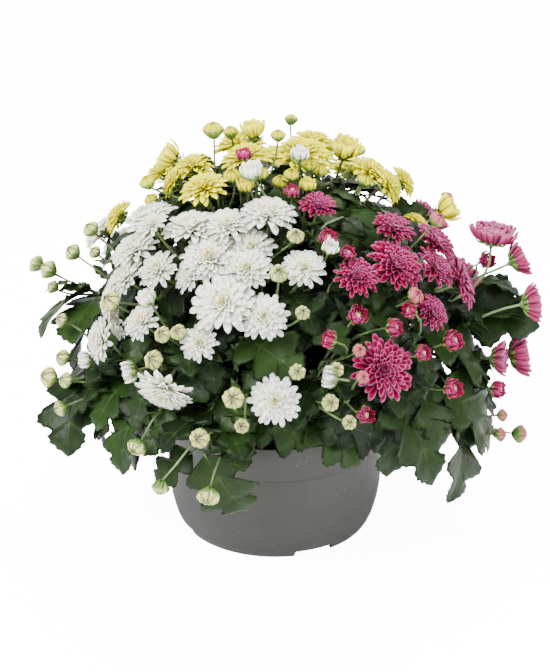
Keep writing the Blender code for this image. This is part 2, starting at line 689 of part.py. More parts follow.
def place_leaves(stems, solids):
    """The leaves that clear the pot, the blooms, the other plants and each other, with their anchors."""
    anchors = {}
    stem_trees = {plant: [] for plant in PLANTS}
    for stem in stems:
        spots = stem.samples()[3:13] if stem.head else stem.samples()[10:]
        anchors.setdefault(stem.plant, []).append(spots)
        stem_trees[stem.plant].append(tree_of(stem_mesh(stem)))
    anchors = {plant: np.concatenate(spots) for plant, spots in anchors.items()}
    placed = {plant: [] for plant in PLANTS}
    blades = {plant: [] for plant in PLANTS}

    def accept(plant, leaf, is_fill):
        anchor, gap = nearest_anchor(leaf.base, anchors[plant])
        if gap > LEAF_STALK_LONGEST:
            return False
        guard = guard_tree(leaf, anchor)
        strangers = [tree for other in PLANTS if other != plant for tree in stem_trees[other] + blades[other]]
        if touches(guard, solids + strangers):
            return False
        blade = guard_tree(leaf)
        if is_fill and touches(blade, blades[plant]):
            return False
        if is_fill and touches(blade, stem_trees[plant]):
            return False
        placed[plant].append((leaf, anchor))
        blades[plant].extend(guard)
        return True

    for plant in PLANTS:
        for tries in seen_leaves(plant):
            any(accept(plant, leaf, False) for leaf in tries)
    draw = random.Random(SEED)
    for tries in fill_candidates(draw):
        for leaf in tries:
            plant = min(PLANTS, key=lambda name: nearest_anchor(leaf.base, anchors[name])[1])
            if accept(plant, leaf, True):
                break
    return placed


def finish(name):
    """The part's own material, by its name."""
    if name in bpy.data.materials:
        return bpy.data.materials[name]
    colour, roughness = FINISHES[name]
    material = bpy.data.materials.new(name)
    material.use_nodes = True
    shader = material.node_tree.nodes["Principled BSDF"]
    shader.inputs["Base Color"].default_value = (*colour, 1.0)
    shader.inputs["Roughness"].default_value = roughness
    shader.inputs["Metallic"].default_value = 0.0
    return material


def fuse(pieces, solver="MANIFOLD"):
    """One mesh from many overlapping pieces, by a Boolean union on their collection."""
    group = bpy.data.collections.new("pieces")
    bpy.context.scene.collection.children.link(group)
    first = pieces[0]
    for piece in pieces[1:]:
        group.objects.link(piece)
        bpy.context.scene.collection.objects.unlink(piece)
    union = first.modifiers.new("Union", "BOOLEAN")
    union.operation = "UNION"
    union.operand_type = "COLLECTION"
    union.collection = group
    union.solver = solver
    bpy.context.view_layer.update()
    mesh = bpy.data.meshes.new_from_object(first.evaluated_get(bpy.context.evaluated_depsgraph_get()))
    for piece in pieces:
        bpy.data.objects.remove(piece, do_unlink=True)
    bpy.data.collections.remove(group)
    return mesh


def bodies_of(mesh):
    """The connected bodies of a mesh, each as a mesh of its own, from the leftmost to the rightmost."""
    shape = bmesh.new()
    shape.from_mesh(mesh)
    left = set(shape.faces)
    groups = []
    while left:
        todo = [left.pop()]
        body = []
        while todo:
            face = todo.pop()
            body.append(face)
            for edge in face.edges:
                for near in edge.link_faces:
                    if near in left:
                        left.remove(near)
                        todo.append(near)
        groups.append(body)
    meshes = []
    for body in groups:
        own = bmesh.new()
        copies = {}
        for face in body:
            corners = [copies.setdefault(vert, None) or vert for vert in face.verts]
            for index, vert in enumerate(face.verts):
                if copies[vert] is None:
                    copies[vert] = own.verts.new(vert.co)
                corners[index] = copies[vert]
            own.faces.new(corners)
        part = bpy.data.meshes.new("body")
        own.to_mesh(part)
        own.free()
        meshes.append(part)
    shape.free()
    return sorted(meshes, key=lambda part: min(vert.co.x for vert in part.vertices))


def loose(name, mesh):
    return new_object(name, mesh, bpy.context.scene.collection)


def add_cutter(name, mesh, place, turn, cutters):
    cutter = new_object(name, mesh, cutters)
    cutter.location = place
    cutter.rotation_euler.z = turn
    cutter.hide_render = True
    cutter.display_type = "WIRE"
    return cutter


def turned(name, profile, parts, material):
    """A turned body from a profile in millimetres, which runs down its outer side."""
    mesh = bpy.data.meshes.new(name)
    spots = [(out * MM, 0.0, up * MM) for out, up in profile]
    mesh.from_pydata(spots, [(index, index + 1) for index in range(len(spots) - 1)], [])
    obj = new_object(name, mesh, parts)
    screw = obj.modifiers.new("Turn", "SCREW")
    screw.steps = screw.render_steps = TURN_STEPS
    screw.use_merge_vertices = True
    screw.merge_threshold = 0.0001
    obj.data.materials.append(finish(material))
    return obj


def cut(obj, cutters):
    boolean = obj.modifiers.new("Cut", "BOOLEAN")
    boolean.operation = "DIFFERENCE"
    boolean.operand_type = "COLLECTION"
    boolean.collection = cutters


def make_pot(parts):
    foot = POT_OUTSIDE[-1][0]
    floor = ((foot - FOOT_RING, 0.0), (foot - FOOT_RING, BASE_PLATE_UNDERSIDE), (0.0, BASE_PLATE_UNDERSIDE))
    profile = ((0.0, POT_INSIDE[0][1]),) + POT_INSIDE + POT_OUTSIDE + floor
    pot = turned("pot", profile, parts, "pot_plastic")
    cutters = bpy.data.collections.new("pot cutters")
    bpy.context.scene.collection.children.link(cutters)
    across, deep, high = (size * MM for size in NOTCH_SIZE)
    for bearing in NOTCH_BEARINGS:
        box = mesh_from("notch", lambda shape: bmesh.ops.create_cube(
            shape, size=1.0, matrix=Matrix.Diagonal((across, deep, 2 * high, 1.0))))
        add_cutter("notch", box, ray(bearing, 90.0) * foot * MM, math.radians(bearing), cutters)
    spots = [Vector()] + [ray(360.0 * index / DRAINS, 90.0) * DRAIN_CIRCLE * MM for index in range(DRAINS)]
    for spot in spots:
        drill = mesh_from("drain", lambda shape: bmesh.ops.create_cone(
            shape, cap_ends=True, segments=HOLE_SIDES, radius1=DRAIN_RADIUS * MM, radius2=DRAIN_RADIUS * MM, depth=0.03))
        add_cutter("drain", drill, spot, 0.0, cutters)
    cut(pot, cutters)


def make_soil(parts):
    gap = SOIL_GAP
    inner = [(out - gap, up + (gap if up < SOIL_TOP else 0.0)) for out, up in reversed(POT_INSIDE)]
    wall = [spot for spot in inner if spot[1] < SOIL_EDGE]
    lip = POT_INSIDE[-1][0] - 0.3 - 2 * gap
    floor = POT_INSIDE[0][1] + gap
    profile = [(0.0, SOIL_TOP), (lip, SOIL_EDGE)] + wall + [(0.0, floor)]
    soil = turned("soil", profile, parts, "potting_soil")
    cutters = bpy.data.collections.new("soil cutters")
    bpy.context.scene.collection.children.link(cutters)
    for plant in PLANTS:
        drill = mesh_from("hole", lambda shape: bmesh.ops.create_cone(
            shape, cap_ends=True, segments=HOLE_SIDES, radius1=HOLE_RADIUS * MM, radius2=HOLE_RADIUS * MM,
            depth=2 * HOLE_DEPTH * MM))
        add_cutter("hole", drill, root_point(plant), 0.0, cutters)
    cut(soil, cutters)


def crown_mesh(plant):
    """The short crown stem, from the bottom of its hole to where the shoots leave it."""
    root = root_point(plant)
    bottom = root - Vector((0.0, 0.0, (HOLE_DEPTH - CROWN_LIFT) * MM))
    top = root + Vector((0.0, 0.0, CROWN_RISE * MM))
    return tube_mesh("crown", [(bottom, CROWN_RADIUS), (root, CROWN_RADIUS), (top, CROWN_RADIUS * 0.8)], 6)


def leaf_piece(leaf, anchor):
    piece = loose("leaf", leaf_mesh(leaf, anchor))
    solid = piece.modifiers.new("Thickness", "SOLIDIFY")
    solid.thickness = LEAF_THICKNESS
    solid.offset = 0.0
    return piece


def make_blooms(heads, parts):
    """The blooms of each colour, fused where their petals touch. It returns their search trees."""
    draw = random.Random(SEED)
    trees = []
    for plant in PLANTS:
        own = [head for head in heads if head.plant == plant and not head.fused]
        mesh = fuse([loose("bloom", bloom_mesh(head, draw)) for head in own])
        for number, body in enumerate(bodies_of(mesh), 1):
            bloom = new_object(f"{plant}_bloom_{number:02d}", body, parts)
            bloom.data.materials.append(finish(plant + "_petal"))
            trees.append(tree_of(body))
    return trees


def make_plants(stems, leaves, parts):
    """Each plant's green: crown, shoots, stalks, buds and leaves as one body. A scrap that stays loose is dropped."""
    draw = random.Random(SEED)
    for plant in PLANTS:
        pieces = [loose("crown", crown_mesh(plant))]
        for stem in stems:
            if stem.plant == plant:
                budded = stem.head is not None and stem.head.fused
                pieces.append(loose("stem", budded_mesh(stem, draw) if budded else stem_mesh(stem)))
        pieces += [leaf_piece(leaf, anchor) for leaf, anchor in leaves[plant]]
        bodies = bodies_of(fuse(pieces))
        green = new_object(plant + "_plant", max(bodies, key=lambda body: len(body.polygons)), parts)
        green.data.materials.append(finish("leaf_green"))


def main():
    for obj in list(bpy.data.objects):
        bpy.data.objects.remove(obj, do_unlink=True)
    parts = bpy.data.collections.new("pot chrysanthemum")
    bpy.context.scene.collection.children.link(parts)
    make_pot(parts)
    make_soil(parts)
    heads = all_heads()
    stems = all_stems(heads)
    bloom_trees = make_blooms(heads, parts)
    bpy.context.view_layer.update()
    graph = bpy.context.evaluated_depsgraph_get()
    holders = [tree_of(parts.objects[name].evaluated_get(graph).to_mesh()) for name in ("pot", "soil")]
    leaves = place_leaves(stems, bloom_trees + holders)
    make_plants(stems, leaves, parts)


main()
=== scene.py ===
# %% [markdown]
# # A pot chrysanthemum in flower
#
# Growers set three young plants in one bowl pot, so that white, magenta and yellow blooms make one dome.
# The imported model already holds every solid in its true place. This lesson dresses it: real petals for
# the faceted blooms, veined leaves for the flat ones, and skins for stems, buds, soil and pot.

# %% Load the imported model
import json
import math
import random
from collections import namedtuple

import bmesh
import bpy
import numpy as np
from mathutils import Matrix, Vector
from mathutils.kdtree import KDTree

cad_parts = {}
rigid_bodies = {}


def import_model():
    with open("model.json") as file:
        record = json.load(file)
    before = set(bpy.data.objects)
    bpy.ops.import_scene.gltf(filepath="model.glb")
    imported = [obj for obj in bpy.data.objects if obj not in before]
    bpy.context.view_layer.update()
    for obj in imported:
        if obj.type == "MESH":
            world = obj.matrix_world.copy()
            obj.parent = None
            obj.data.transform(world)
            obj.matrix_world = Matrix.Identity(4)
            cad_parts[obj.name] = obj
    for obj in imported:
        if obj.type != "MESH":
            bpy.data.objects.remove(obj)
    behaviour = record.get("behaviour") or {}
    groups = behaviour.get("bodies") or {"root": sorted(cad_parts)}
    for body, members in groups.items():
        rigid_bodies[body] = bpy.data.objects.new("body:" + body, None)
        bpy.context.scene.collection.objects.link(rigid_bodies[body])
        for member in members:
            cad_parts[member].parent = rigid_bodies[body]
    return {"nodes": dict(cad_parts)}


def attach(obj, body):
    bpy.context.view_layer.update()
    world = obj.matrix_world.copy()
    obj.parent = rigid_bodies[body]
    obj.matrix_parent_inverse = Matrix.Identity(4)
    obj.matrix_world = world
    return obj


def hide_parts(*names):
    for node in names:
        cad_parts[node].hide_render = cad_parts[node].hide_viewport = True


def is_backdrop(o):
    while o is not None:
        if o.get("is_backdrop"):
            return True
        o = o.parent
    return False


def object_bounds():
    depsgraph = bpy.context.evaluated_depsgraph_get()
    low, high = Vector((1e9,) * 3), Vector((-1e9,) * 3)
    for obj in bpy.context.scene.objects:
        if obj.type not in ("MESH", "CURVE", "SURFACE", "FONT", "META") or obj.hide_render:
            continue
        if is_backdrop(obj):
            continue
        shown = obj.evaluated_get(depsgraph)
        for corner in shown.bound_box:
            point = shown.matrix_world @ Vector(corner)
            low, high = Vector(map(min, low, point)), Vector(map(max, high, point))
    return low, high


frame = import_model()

MM = 0.001
SEED = 11
bpy.context.view_layer.update()
cad_box = [list(corner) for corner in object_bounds()]
print("The solids reach from", cad_box[0], "to", cad_box[1])

# %% [markdown]
# ## The photographer's place
#
# The rim and the foot of the pot show as ellipses. Their flatness gives the camera's pitch, and their
# width its distance, so the whole scene is framed as in the photograph.

# %% Camera
CAMERA_PLACE = (0.0, -1.027, 0.581)
CAMERA_PITCH = 21.66
FOCAL_PIXELS = 1252.0
IMAGE_HEIGHT = 672.0
SENSOR = 36.0

camera_data = bpy.data.cameras.new("photographer")
camera_data.sensor_width = SENSOR
camera_data.lens = FOCAL_PIXELS / IMAGE_HEIGHT * SENSOR
camera = bpy.data.objects.new("photographer", camera_data)
camera.location = CAMERA_PLACE
camera.rotation_euler = (math.radians(90.0 - CAMERA_PITCH), 0.0, 0.0)
bpy.context.scene.collection.objects.link(camera)
bpy.context.scene.camera = camera
print("Lens", round(camera_data.lens, 1), "mm")

# %% [markdown]
# ## Helpers for materials
#
# A material is a tree of nodes. One small function adds any kind of node with its settings and links, and
# another turns a hex colour, which a screen shows, into the linear colour that light adds up in.

# %% Helpers for nodes, materials and pieces
def linear(hex_colour):
    """A material's sRGB hex colour as the linear colour that a shader works in."""
    values = [int(hex_colour[start:start + 2], 16) / 255 for start in (1, 3, 5)]
    return tuple(v / 12.92 if v <= 0.04045 else ((v + 0.055) / 1.055) ** 2.4 for v in values) + (1.0,)


def put(tree, kind, inputs=None, out=0, **settings):
    """Adds a node and hands back one of its outputs, the first if no other is named.

    An input, by its name or number, takes a value or a link from another node's output.
    """
    node = tree.nodes.new(kind)
    for name, value in settings.items():
        setattr(node, name, value)
    for name, value in (inputs or {}).items():
        if isinstance(value, bpy.types.NodeSocket):
            tree.links.new(value, node.inputs[name])
        else:
            node.inputs[name].default_value = value
    return node.outputs[out]


def new_material(name, roughness):
    """A Principled material with its tree and its shader."""
    material = bpy.data.materials.new(name)
    material.use_nodes = True
    shader = material.node_tree.nodes["Principled BSDF"]
    shader.inputs["Roughness"].default_value = roughness
    return material, material.node_tree, shader


def show(name, mesh):
    """Puts a mesh in the scene as an object at the origin."""
    obj = bpy.data.objects.new(name, mesh)
    bpy.context.scene.collection.objects.link(obj)
    return obj


print("White paper's colour in linear values:", [round(value, 3) for value in linear("#f3f3f1")[:3]])

# %% [markdown]
# ## A sweep of paper
#
# The plant was shot on white paper that runs back level and then curves up, so that no edge shows behind
# it. The paper glows for the camera alone, as a background does that has lamps of its own.

# %% The floor
SWEEP_WIDTH = 8.0
SWEEP_LINE = (
    (-4.0, 0.0), (1.6, 0.0), (1.98, 0.05), (2.31, 0.17), (2.56, 0.37), (2.75, 0.6), (2.8, 1.0), (2.8, 4.0))
FLOOR_DROP = 0.2 * MM
PAPER_GLOW = 12.0


def seen_strength(tree, plain, seen):
    """A light's strength that is plain for the scene, and brighter by seen where it is looked at directly."""
    looked_at = put(tree, "ShaderNodeLightPath", out="Is Camera Ray")
    return put(tree, "ShaderNodeMath", {0: looked_at, 1: seen, 2: plain}, operation="MULTIPLY_ADD")


# Uncoated paper is matt, so it shows the plant's soft shadow and no reflection
paper, paper_tree, paper_shader = new_material("matt white sweep paper", roughness=0.9)
paper_shader.inputs["Base Color"].default_value = linear("#f3f3f1")
paper_shader.inputs["Emission Color"].default_value = linear("#ffffff")
paper_tree.links.new(seen_strength(paper_tree, 0.0, PAPER_GLOW), paper_shader.inputs["Emission Strength"])
floor_mesh = bpy.data.meshes.new("floor")
half = SWEEP_WIDTH / 2
corners = [(side * half, back, up) for back, up in SWEEP_LINE for side in (-1, 1)]
strips = [(index, index + 1, index + 3, index + 2) for index in range(0, len(corners) - 2, 2)]
floor_mesh.from_pydata(corners, [], strips)
for strip in floor_mesh.polygons:
    strip.use_smooth = True
floor_mesh.transform(Matrix.Translation((0.0, 0.0, -FLOOR_DROP)))
floor_mesh.materials.append(paper)
show("floor", floor_mesh)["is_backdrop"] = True
print("The sweep has", len(strips), "strips")

# %% [markdown]
# ## Soft studio light
#
# One broad lamp high on the left is the key, a second on the right fills the shadows, and a third lights
# the top from behind. A bright world stands in for the white walls, and looks brighter still to the camera.

# %% Lamps and world
LAMPS = {
    "key": ((-1.3, -1.5, 2.0), 1.3, 225.0),
    "fill": ((1.6, -1.4, 1.1), 1.6, 65.0),
    "top": ((0.2, 0.6, 2.2), 1.2, 85.0),
}
LAMPS_AIM = Vector((0.0, 0.0, 0.2))
WORLD_STRENGTH = 1.15
WALL_GLOW = 13.0

for name, (place, size, power) in LAMPS.items():
    lamp_data = bpy.data.lights.new(name, "AREA")
    lamp_data.size = size
    lamp_data.energy = power
    lamp = bpy.data.objects.new(name, lamp_data)
    lamp.location = place
    lamp.rotation_euler = (LAMPS_AIM - Vector(place)).to_track_quat("-Z", "Y").to_euler()
    bpy.context.scene.collection.objects.link(lamp)

world = bpy.data.worlds.new("white studio")
world.use_nodes = True
walls = world.node_tree.nodes["Background"].inputs
walls["Color"].default_value = linear("#f4f6f8")
world.node_tree.links.new(seen_strength(world.node_tree, WORLD_STRENGTH, WALL_GLOW), walls["Strength"])
bpy.context.scene.world = world
print("Lit by", len(LAMPS), "lamps")

# %% [markdown]
# ## The layout, as in the solids
#
# The blooms lie on a dome over the pot, a little taller than it is wide. A place on it is given by a
# bearing round the pot, a lean from straight up and a reach, where 1 is the dome itself. The solids were
# laid out in this way, so the same lists put petals where the blooms are.

# %% A dome over the pot
HEART = Vector((0.0, 0.0, 0.120))
SPREAD = 0.205
RISE = 0.232


def ray(bearing, lean):
    """The unit vector at this bearing round the pot and this lean from straight up, in degrees."""
    around, down = math.radians(bearing), math.radians(lean)
    return Vector((math.sin(down) * math.sin(around), -math.sin(down) * math.cos(around), math.cos(down)))


def dome(bearing, lean, reach):
    """The point on the dome of blooms, where a reach of 1 is its surface."""
    way = ray(bearing, lean)
    return HEART + Vector((way.x * SPREAD, way.y * SPREAD, way.z * RISE)) * reach


print("The dome's top is", round(dome(0.0, 0.0, 1.0).z / MM), "mm up")

# %% [markdown]
# ## Heads of the white plant
#
# The white plant stands at the front left, and its open blooms run together on the near side. Each row is
# a head: its bearing, lean, reach on the dome and width in millimetres. Two numbers more give the bearing
# and lean that its face looks to, where it doesn't point outwards.

# %% White blooms, half-open ones and buds
WHITE_OPEN = (
    (-22, 42, 1.00, 50), (-14, 52, 1.03, 50), (-3, 54, 1.00, 40), (-9, 44, 1.00, 42), (9, 44, 1.00, 36),
    (0, 70, 1.00, 40), (-19, 60, 1.00, 32), (-26, 72, 1.00, 48, -20, 122), (-50, 65, 1.00, 38, -60, 72),
    (-37, 58, 1.00, 34, -45, 45), (-51, 61, 0.93, 30, -60, 95), (-52, 57, 1.00, 32, -80, 75),
    (-50, 51, 1.00, 40, -65, 48), (-53, 44, 1.00, 44, -60, 28), (-38, 47, 1.00, 36),
    (-43, 40, 1.07, 28, -50, 30), (-59, 36, 1.00, 46, -80, 20), (-34, 35, 1.00, 48, -40, 14),
    (-19, 34, 1.00, 40, -15, 25), (-3, 30, 1.00, 48, 0, 18), (-9, 38, 0.97, 40),
    (-28, 46, 0.98, 36, -60, 50), (-98, 50, 1.00, 42), (-122, 60, 1.00, 40), (-104, 74, 0.96, 36),
)
WHITE_CUPS = (
    (-37, 69, 1.00, 20, -85, 105), (-34, 54, 1.06, 18, -62, 35), (-12, 24, 1.08, 22, -50, 20),
    (16, 19, 1.08, 17, 10, 15), (17, 42, 1.05, 15), (11, 66, 1.00, 19, -90, 80),
    (-53, 70, 1.00, 16, -70, 80),
)
WHITE_BUDS = (
    (-104, 68, 1.17, 16), (-88, 62, 1.07, 17), (-79, 54, 1.03, 15), (-71, 47, 1.05, 14),
    (-61, 72, 1.00, 14), (-60, 76, 1.05, 17), (-55, 75, 1.02, 13), (-56, 81, 1.02, 13, -60, 100),
    (-43, 57, 1.06, 16), (-28, 60, 1.00, 13), (-29, 65, 1.00, 15), (-9, 70, 1.00, 16), (-16, 78, 1.00, 15),
    (-31, 82, 1.00, 15, -35, 120), (-25, 89, 1.00, 14, -25, 150), (-14, 89, 1.00, 17, -10, 125),
    (1, 48, 1.07, 14), (7, 38, 1.00, 13), (12, 71, 1.00, 13),
)
print("White heads:", len(WHITE_OPEN + WHITE_CUPS + WHITE_BUDS))

# %% [markdown]
# ## Heads of the yellow plant
#
# The yellow plant roots at the back. Its blooms crown the dome and fill the side that doesn't show.

# %% Yellow blooms, half-open ones and buds
YELLOW_OPEN = (
    (-42, 25, 1.00, 40), (-74, 20, 1.00, 36, -80, 10), (-74, 27, 0.98, 30, -95, 60),
    (-80, 42, 1.00, 32, -100, 60), (-38, 11, 1.00, 42, -30, 12), (48, 9, 1.00, 50, 20, 12),
    (78, 24, 1.00, 38, 80, 30), (73, 30, 1.00, 34, 80, 60), (102, 35, 1.00, 30, 100, 60),
    (90, 41, 0.92, 24), (140, 15, 1.00, 44), (-150, 18, 1.00, 44), (180, 34, 1.00, 46), (145, 38, 1.00, 42),
    (-142, 40, 1.00, 42), (-112, 32, 1.00, 38), (165, 56, 1.00, 44), (-165, 59, 1.00, 44),
    (180, 78, 0.98, 40), (152, 78, 1.00, 38), (-150, 78, 0.98, 38),
)
YELLOW_CUPS = (
    (-91, 26, 1.05, 26, -90, 55), (-100, 5, 1.05, 24, -60, 8), (94, 17, 1.02, 28, 30, 25),
    (95, 46, 1.05, 27, 85, 55), (19, 23, 1.00, 15), (-17, 23, 1.00, 16),
)
YELLOW_BUDS = (
    (-60, 15, 1.08, 17, -70, 5), (-82, 10, 1.03, 13), (-64, 32, 1.04, 14), (25, 18, 1.00, 13),
    (4, 10, 1.05, 12), (-168, 70, 1.05, 14), (150, 66, 1.05, 14),
)
print("Yellow heads:", len(YELLOW_OPEN + YELLOW_CUPS + YELLOW_BUDS))

# %% [markdown]
# ## Heads of the magenta plant
#
# The magenta plant stands at the right. Its farthest blooms look sideways on long stalks, and most of its
# heads at the front are half open.

# %% Magenta blooms, half-open ones and buds
MAGENTA_OPEN = (
    (20, 29, 1.00, 30), (49, 38, 1.00, 36, 45, 25), (41, 46, 1.00, 48), (25, 47, 1.00, 36),
    (57, 50, 1.00, 38), (67, 45, 1.00, 40, 70, 35), (46, 58, 1.00, 32), (69, 56, 1.00, 50, 85, 65),
    (88, 54, 1.12, 42, 80, 5), (85, 61, 1.17, 32, 95, 65), (78, 68, 1.17, 34, 90, 80), (27, 66, 1.00, 50),
    (76, 77, 1.00, 32, 75, 85), (83, 79, 1.08, 42, 85, 80), (118, 52, 1.00, 40), (108, 68, 1.00, 42),
    (128, 76, 1.00, 38),
)
MAGENTA_CUPS = (
    (19, 38, 1.00, 17), (22, 55, 1.00, 18), (89, 59, 1.05, 18, 30, 60), (37, 65, 1.02, 15),
    (20, 74, 1.02, 16), (50, 65, 1.00, 20), (46, 74, 1.00, 19), (70, 82, 1.00, 19, 60, 85),
    (36, 56, 1.00, 15, -60, 60), (12, 59, 1.00, 16, -80, 70), (32, 59, 1.00, 17, 60, 75),
    (81, 72, 1.02, 14), (24, 42, 1.00, 14), (9, 25, 1.00, 14), (-25, 16, 1.04, 15),
)
MAGENTA_BUDS = (
    (40, 54, 1.00, 13), (57, 43, 1.08, 14), (67, 91, 1.00, 12), (76, 94, 1.06, 16, 85, 95),
    (106, 47, 1.05, 13),
)
print("Magenta heads:", len(MAGENTA_OPEN + MAGENTA_CUPS + MAGENTA_BUDS))

# %% [markdown]
# ## Leaves that show well
#
# Each row has the bearing, lean and reach of the blade's base and of its tip, and its width as a share of
# its length. Two numbers more give the way that the upper face looks to, where it isn't outwards.

# %% Leaves of each plant
WHITE_LEAVES = (
    (-18, 84, 0.86, -8, 101, 0.78, 0.95), (-72, 78, 0.85, -58, 93, 0.98, 0.95, -20, 75),
    (-90, 62, 0.88, -72, 72, 1.05, 0.60), (-92, 62, 0.82, -66, 70, 0.94, 0.90, -35, 50),
    (-50, 72, 0.78, -50, 85, 0.92, 1.00), (-42, 78, 0.82, -38, 91, 0.95, 0.90),
    (-33, 60, 0.82, -18, 72, 0.92, 0.95), (-42, 56, 0.76, -30, 44, 0.86, 0.95),
    (-10, 56, 0.82, 7, 66, 0.92, 1.00), (-24, 86, 0.78, -34, 95, 0.84, 0.80),
    (-18, 72, 0.78, -6, 84, 0.88, 0.90), (-27, 76, 0.78, -33, 86, 0.92, 0.85),
    (-95, 56, 0.85, -96, 48, 1.00, 0.70),
)
MAGENTA_LEAVES = (
    (36, 72, 0.78, 40, 94, 0.95, 0.90), (88, 60, 0.74, 82, 74, 1.16, 0.80, 20, 55),
    (55, 76, 0.82, 70, 96, 0.96, 0.90), (58, 60, 0.76, 78, 82, 0.92, 0.90),
    (13, 50, 0.80, 19, 62, 0.90, 0.95), (10, 76, 0.76, 22, 87, 0.86, 0.90),
    (38, 48, 0.82, 34, 62, 0.90, 0.90),
)
YELLOW_LEAVES = (
    (104, 34, 0.82, 98, 43, 1.02, 0.80, 35, 50), (108, 16, 0.80, 88, 32, 0.92, 0.60),
    (56, 18, 0.84, 50, 38, 0.84, 0.80, 25, 50), (6, 4, 0.86, 20, 12, 1.02, 0.60),
    (-112, 22, 0.88, -84, 28, 1.02, 0.50), (178, 40, 0.74, 190, 60, 0.82, 0.95),
    (152, 62, 0.74, 142, 82, 0.84, 0.95), (-152, 62, 0.74, -164, 82, 0.84, 0.95),
)
print("Leaves in the lists:", len(WHITE_LEAVES + MAGENTA_LEAVES + YELLOW_LEAVES))

# %% [markdown]
# ## Three plants in one pot
#
# Each plant has its root at a bearing round the pot, and shoots that end at a bearing and a lean. A head
# sits a little below its place on the dome. Buds and small half-open heads are part of their plant's
# solid, while every other bloom is a solid of its own.

# %% Plants and heads
SEAT_DEPTHS = {"open": 0.55, "cup": 1.1, "bud": 0.7}
SMALL_CUP = 22.5
FACE_LIFT = 0.9
PLANTS = {
    "white": {
        "root": -62.0,
        "shoots": ((-4, 38), (-2, 62), (-27, 36), (-30, 62), (-55, 46), (-66, 68), (-100, 58)),
        "open": WHITE_OPEN, "cup": WHITE_CUPS, "bud": WHITE_BUDS, "leaves": WHITE_LEAVES,
    },
    "magenta": {
        "root": 58.0,
        "shoots": ((17, 36), (20, 60), (44, 42), (44, 64), (72, 50), (78, 74), (112, 60)),
        "open": MAGENTA_OPEN, "cup": MAGENTA_CUPS, "bud": MAGENTA_BUDS, "leaves": MAGENTA_LEAVES,
    },
    "yellow": {
        "root": 178.0,
        "shoots": ((-60, 16), (60, 14), (-105, 34), (95, 32), (-155, 30), (150, 30), (-160, 60), (158, 60)),
        "open": YELLOW_OPEN, "cup": YELLOW_CUPS, "bud": YELLOW_BUDS, "leaves": YELLOW_LEAVES,
    },
}

Head = namedtuple("Head", "plant kind radius facing seat fused")


def head_from(plant, kind, row):
    """A head from its row. A face with no way of its own looks a little further up than outwards."""
    bearing, lean, reach, width = row[:4]
    facing = ray(*(row[4:] or (bearing, lean * FACE_LIFT)))
    radius = width * MM / 2
    seat = dome(bearing, lean, reach) - facing * SEAT_DEPTHS[kind] * radius
    fused = kind == "bud" or (kind == "cup" and width < SMALL_CUP)
    return Head(plant, kind, radius, facing, seat, fused)


heads = []
for plant, rows in PLANTS.items():
    for kind in ("open", "cup", "bud"):
        heads += [head_from(plant, kind, row) for row in rows[kind]]
print(len(heads), "heads")

# %% [markdown]
# ## Finding what each solid holds
#
# Blooms whose petals touch share a solid. The solid whose corner lies nearest to a head's seat is the one
# that the head's petals replace.

# %% Which solid each bloom is in
FOOT_CORNER = 0.9 * 4.2 * MM
UPRIGHT = 0.1


def across_axes(axis):
    """Two unit vectors square to an axis and to each other."""
    side = axis.cross(Vector((0.0, 0.0, 1.0)))
    if side.length < UPRIGHT:
        side = axis.cross(Vector((0.0, 1.0, 0.0)))
    side.normalize()
    return side, axis.cross(side)


def corners_of(names):
    """A search tree of the corners of several solids, and the solid of each corner."""
    found = [(vert.co, name) for name in names for vert in frame["nodes"][name].data.vertices]
    tree = KDTree(len(found))
    for index, (place, name) in enumerate(found):
        tree.insert(place, index)
    tree.balance()
    return tree, [name for place, name in found]


bloom_nodes = sorted(name for name in frame["nodes"] if "_bloom_" in name)
bloom_tree, bloom_names = corners_of(bloom_nodes)
heads_in = {name: [] for name in bloom_nodes}
for head in heads:
    if not head.fused:
        side, other = across_axes(head.facing)
        place, index, gap = bloom_tree.find(head.seat + side * FOOT_CORNER)
        heads_in[bloom_names[index]].append(head)
print("Solids with no head:", [name for name, own in heads_in.items() if not own])

# %% [markdown]
# ## Shoots and stalks
#
# Each plant's shoots rise from one crown and bow out to the dome. A stalk leaves one of the two shoots
# that end nearest to its head, and may bow to one side to pass its neighbours. Bezier curves give both
# their sweep from four control points.

# %% Ways that shoots and stalks may take
ROOT_DISTANCE = 42.0 * MM
SOIL_TOP = 97.0
CROWN_RISE = 10.0
CROWN_HOLD = 4.0
SHOOT_FOOT = 1.5
SHOOT_REACH = 0.62
SHOOT_RISE = 42.0 * MM
SHOOT_SWAY = 22.0 * MM
SHOOT_TURN = 0.6
SHOOT_SHARES = (0.0, 0.3, 0.62, 1.0)
FORK_ENDS = (0.02, 0.98)
CALYX_DEPTH = 5.0 * MM
BENDS = (0.0, 8.0 * MM, 16.0 * MM, 26.0 * MM, 38.0 * MM)
BEND_WAYS = 8
STALK_PULLS = (0.2, 0.35)
FAR_BEND = 0.7


def bezier(ends, share):
    """The point on a cubic Bezier curve, from its four control points."""
    rest = 1.0 - share
    weights = (rest ** 3, 3 * rest * rest * share, 3 * rest * share * share, share ** 3)
    return sum((point * weight for point, weight in zip(ends, weights)), Vector())


def root_point(plant):
    return ray(PLANTS[plant]["root"], 90.0) * ROOT_DISTANCE + Vector((0.0, 0.0, SOIL_TOP * MM))


def shoots_of(plant):
    """The control points of the plant's main stems, all from the top of its crown."""
    crown = root_point(plant) + Vector((0.0, 0.0, (CROWN_RISE - CROWN_HOLD) * MM))
    ways = []
    for bearing, lean in PLANTS[plant]["shoots"]:
        end = dome(bearing, lean, SHOOT_REACH)
        level = Vector((end.x - crown.x, end.y - crown.y, 0.0)).normalized()
        start = crown + level * SHOOT_FOOT * MM
        rising = start + Vector((0.0, 0.0, SHOOT_RISE)) + level * SHOOT_SWAY
        ways.append((start, rising, end - ray(bearing, lean * SHOOT_TURN) * SHOOT_RISE, end))
    return ways


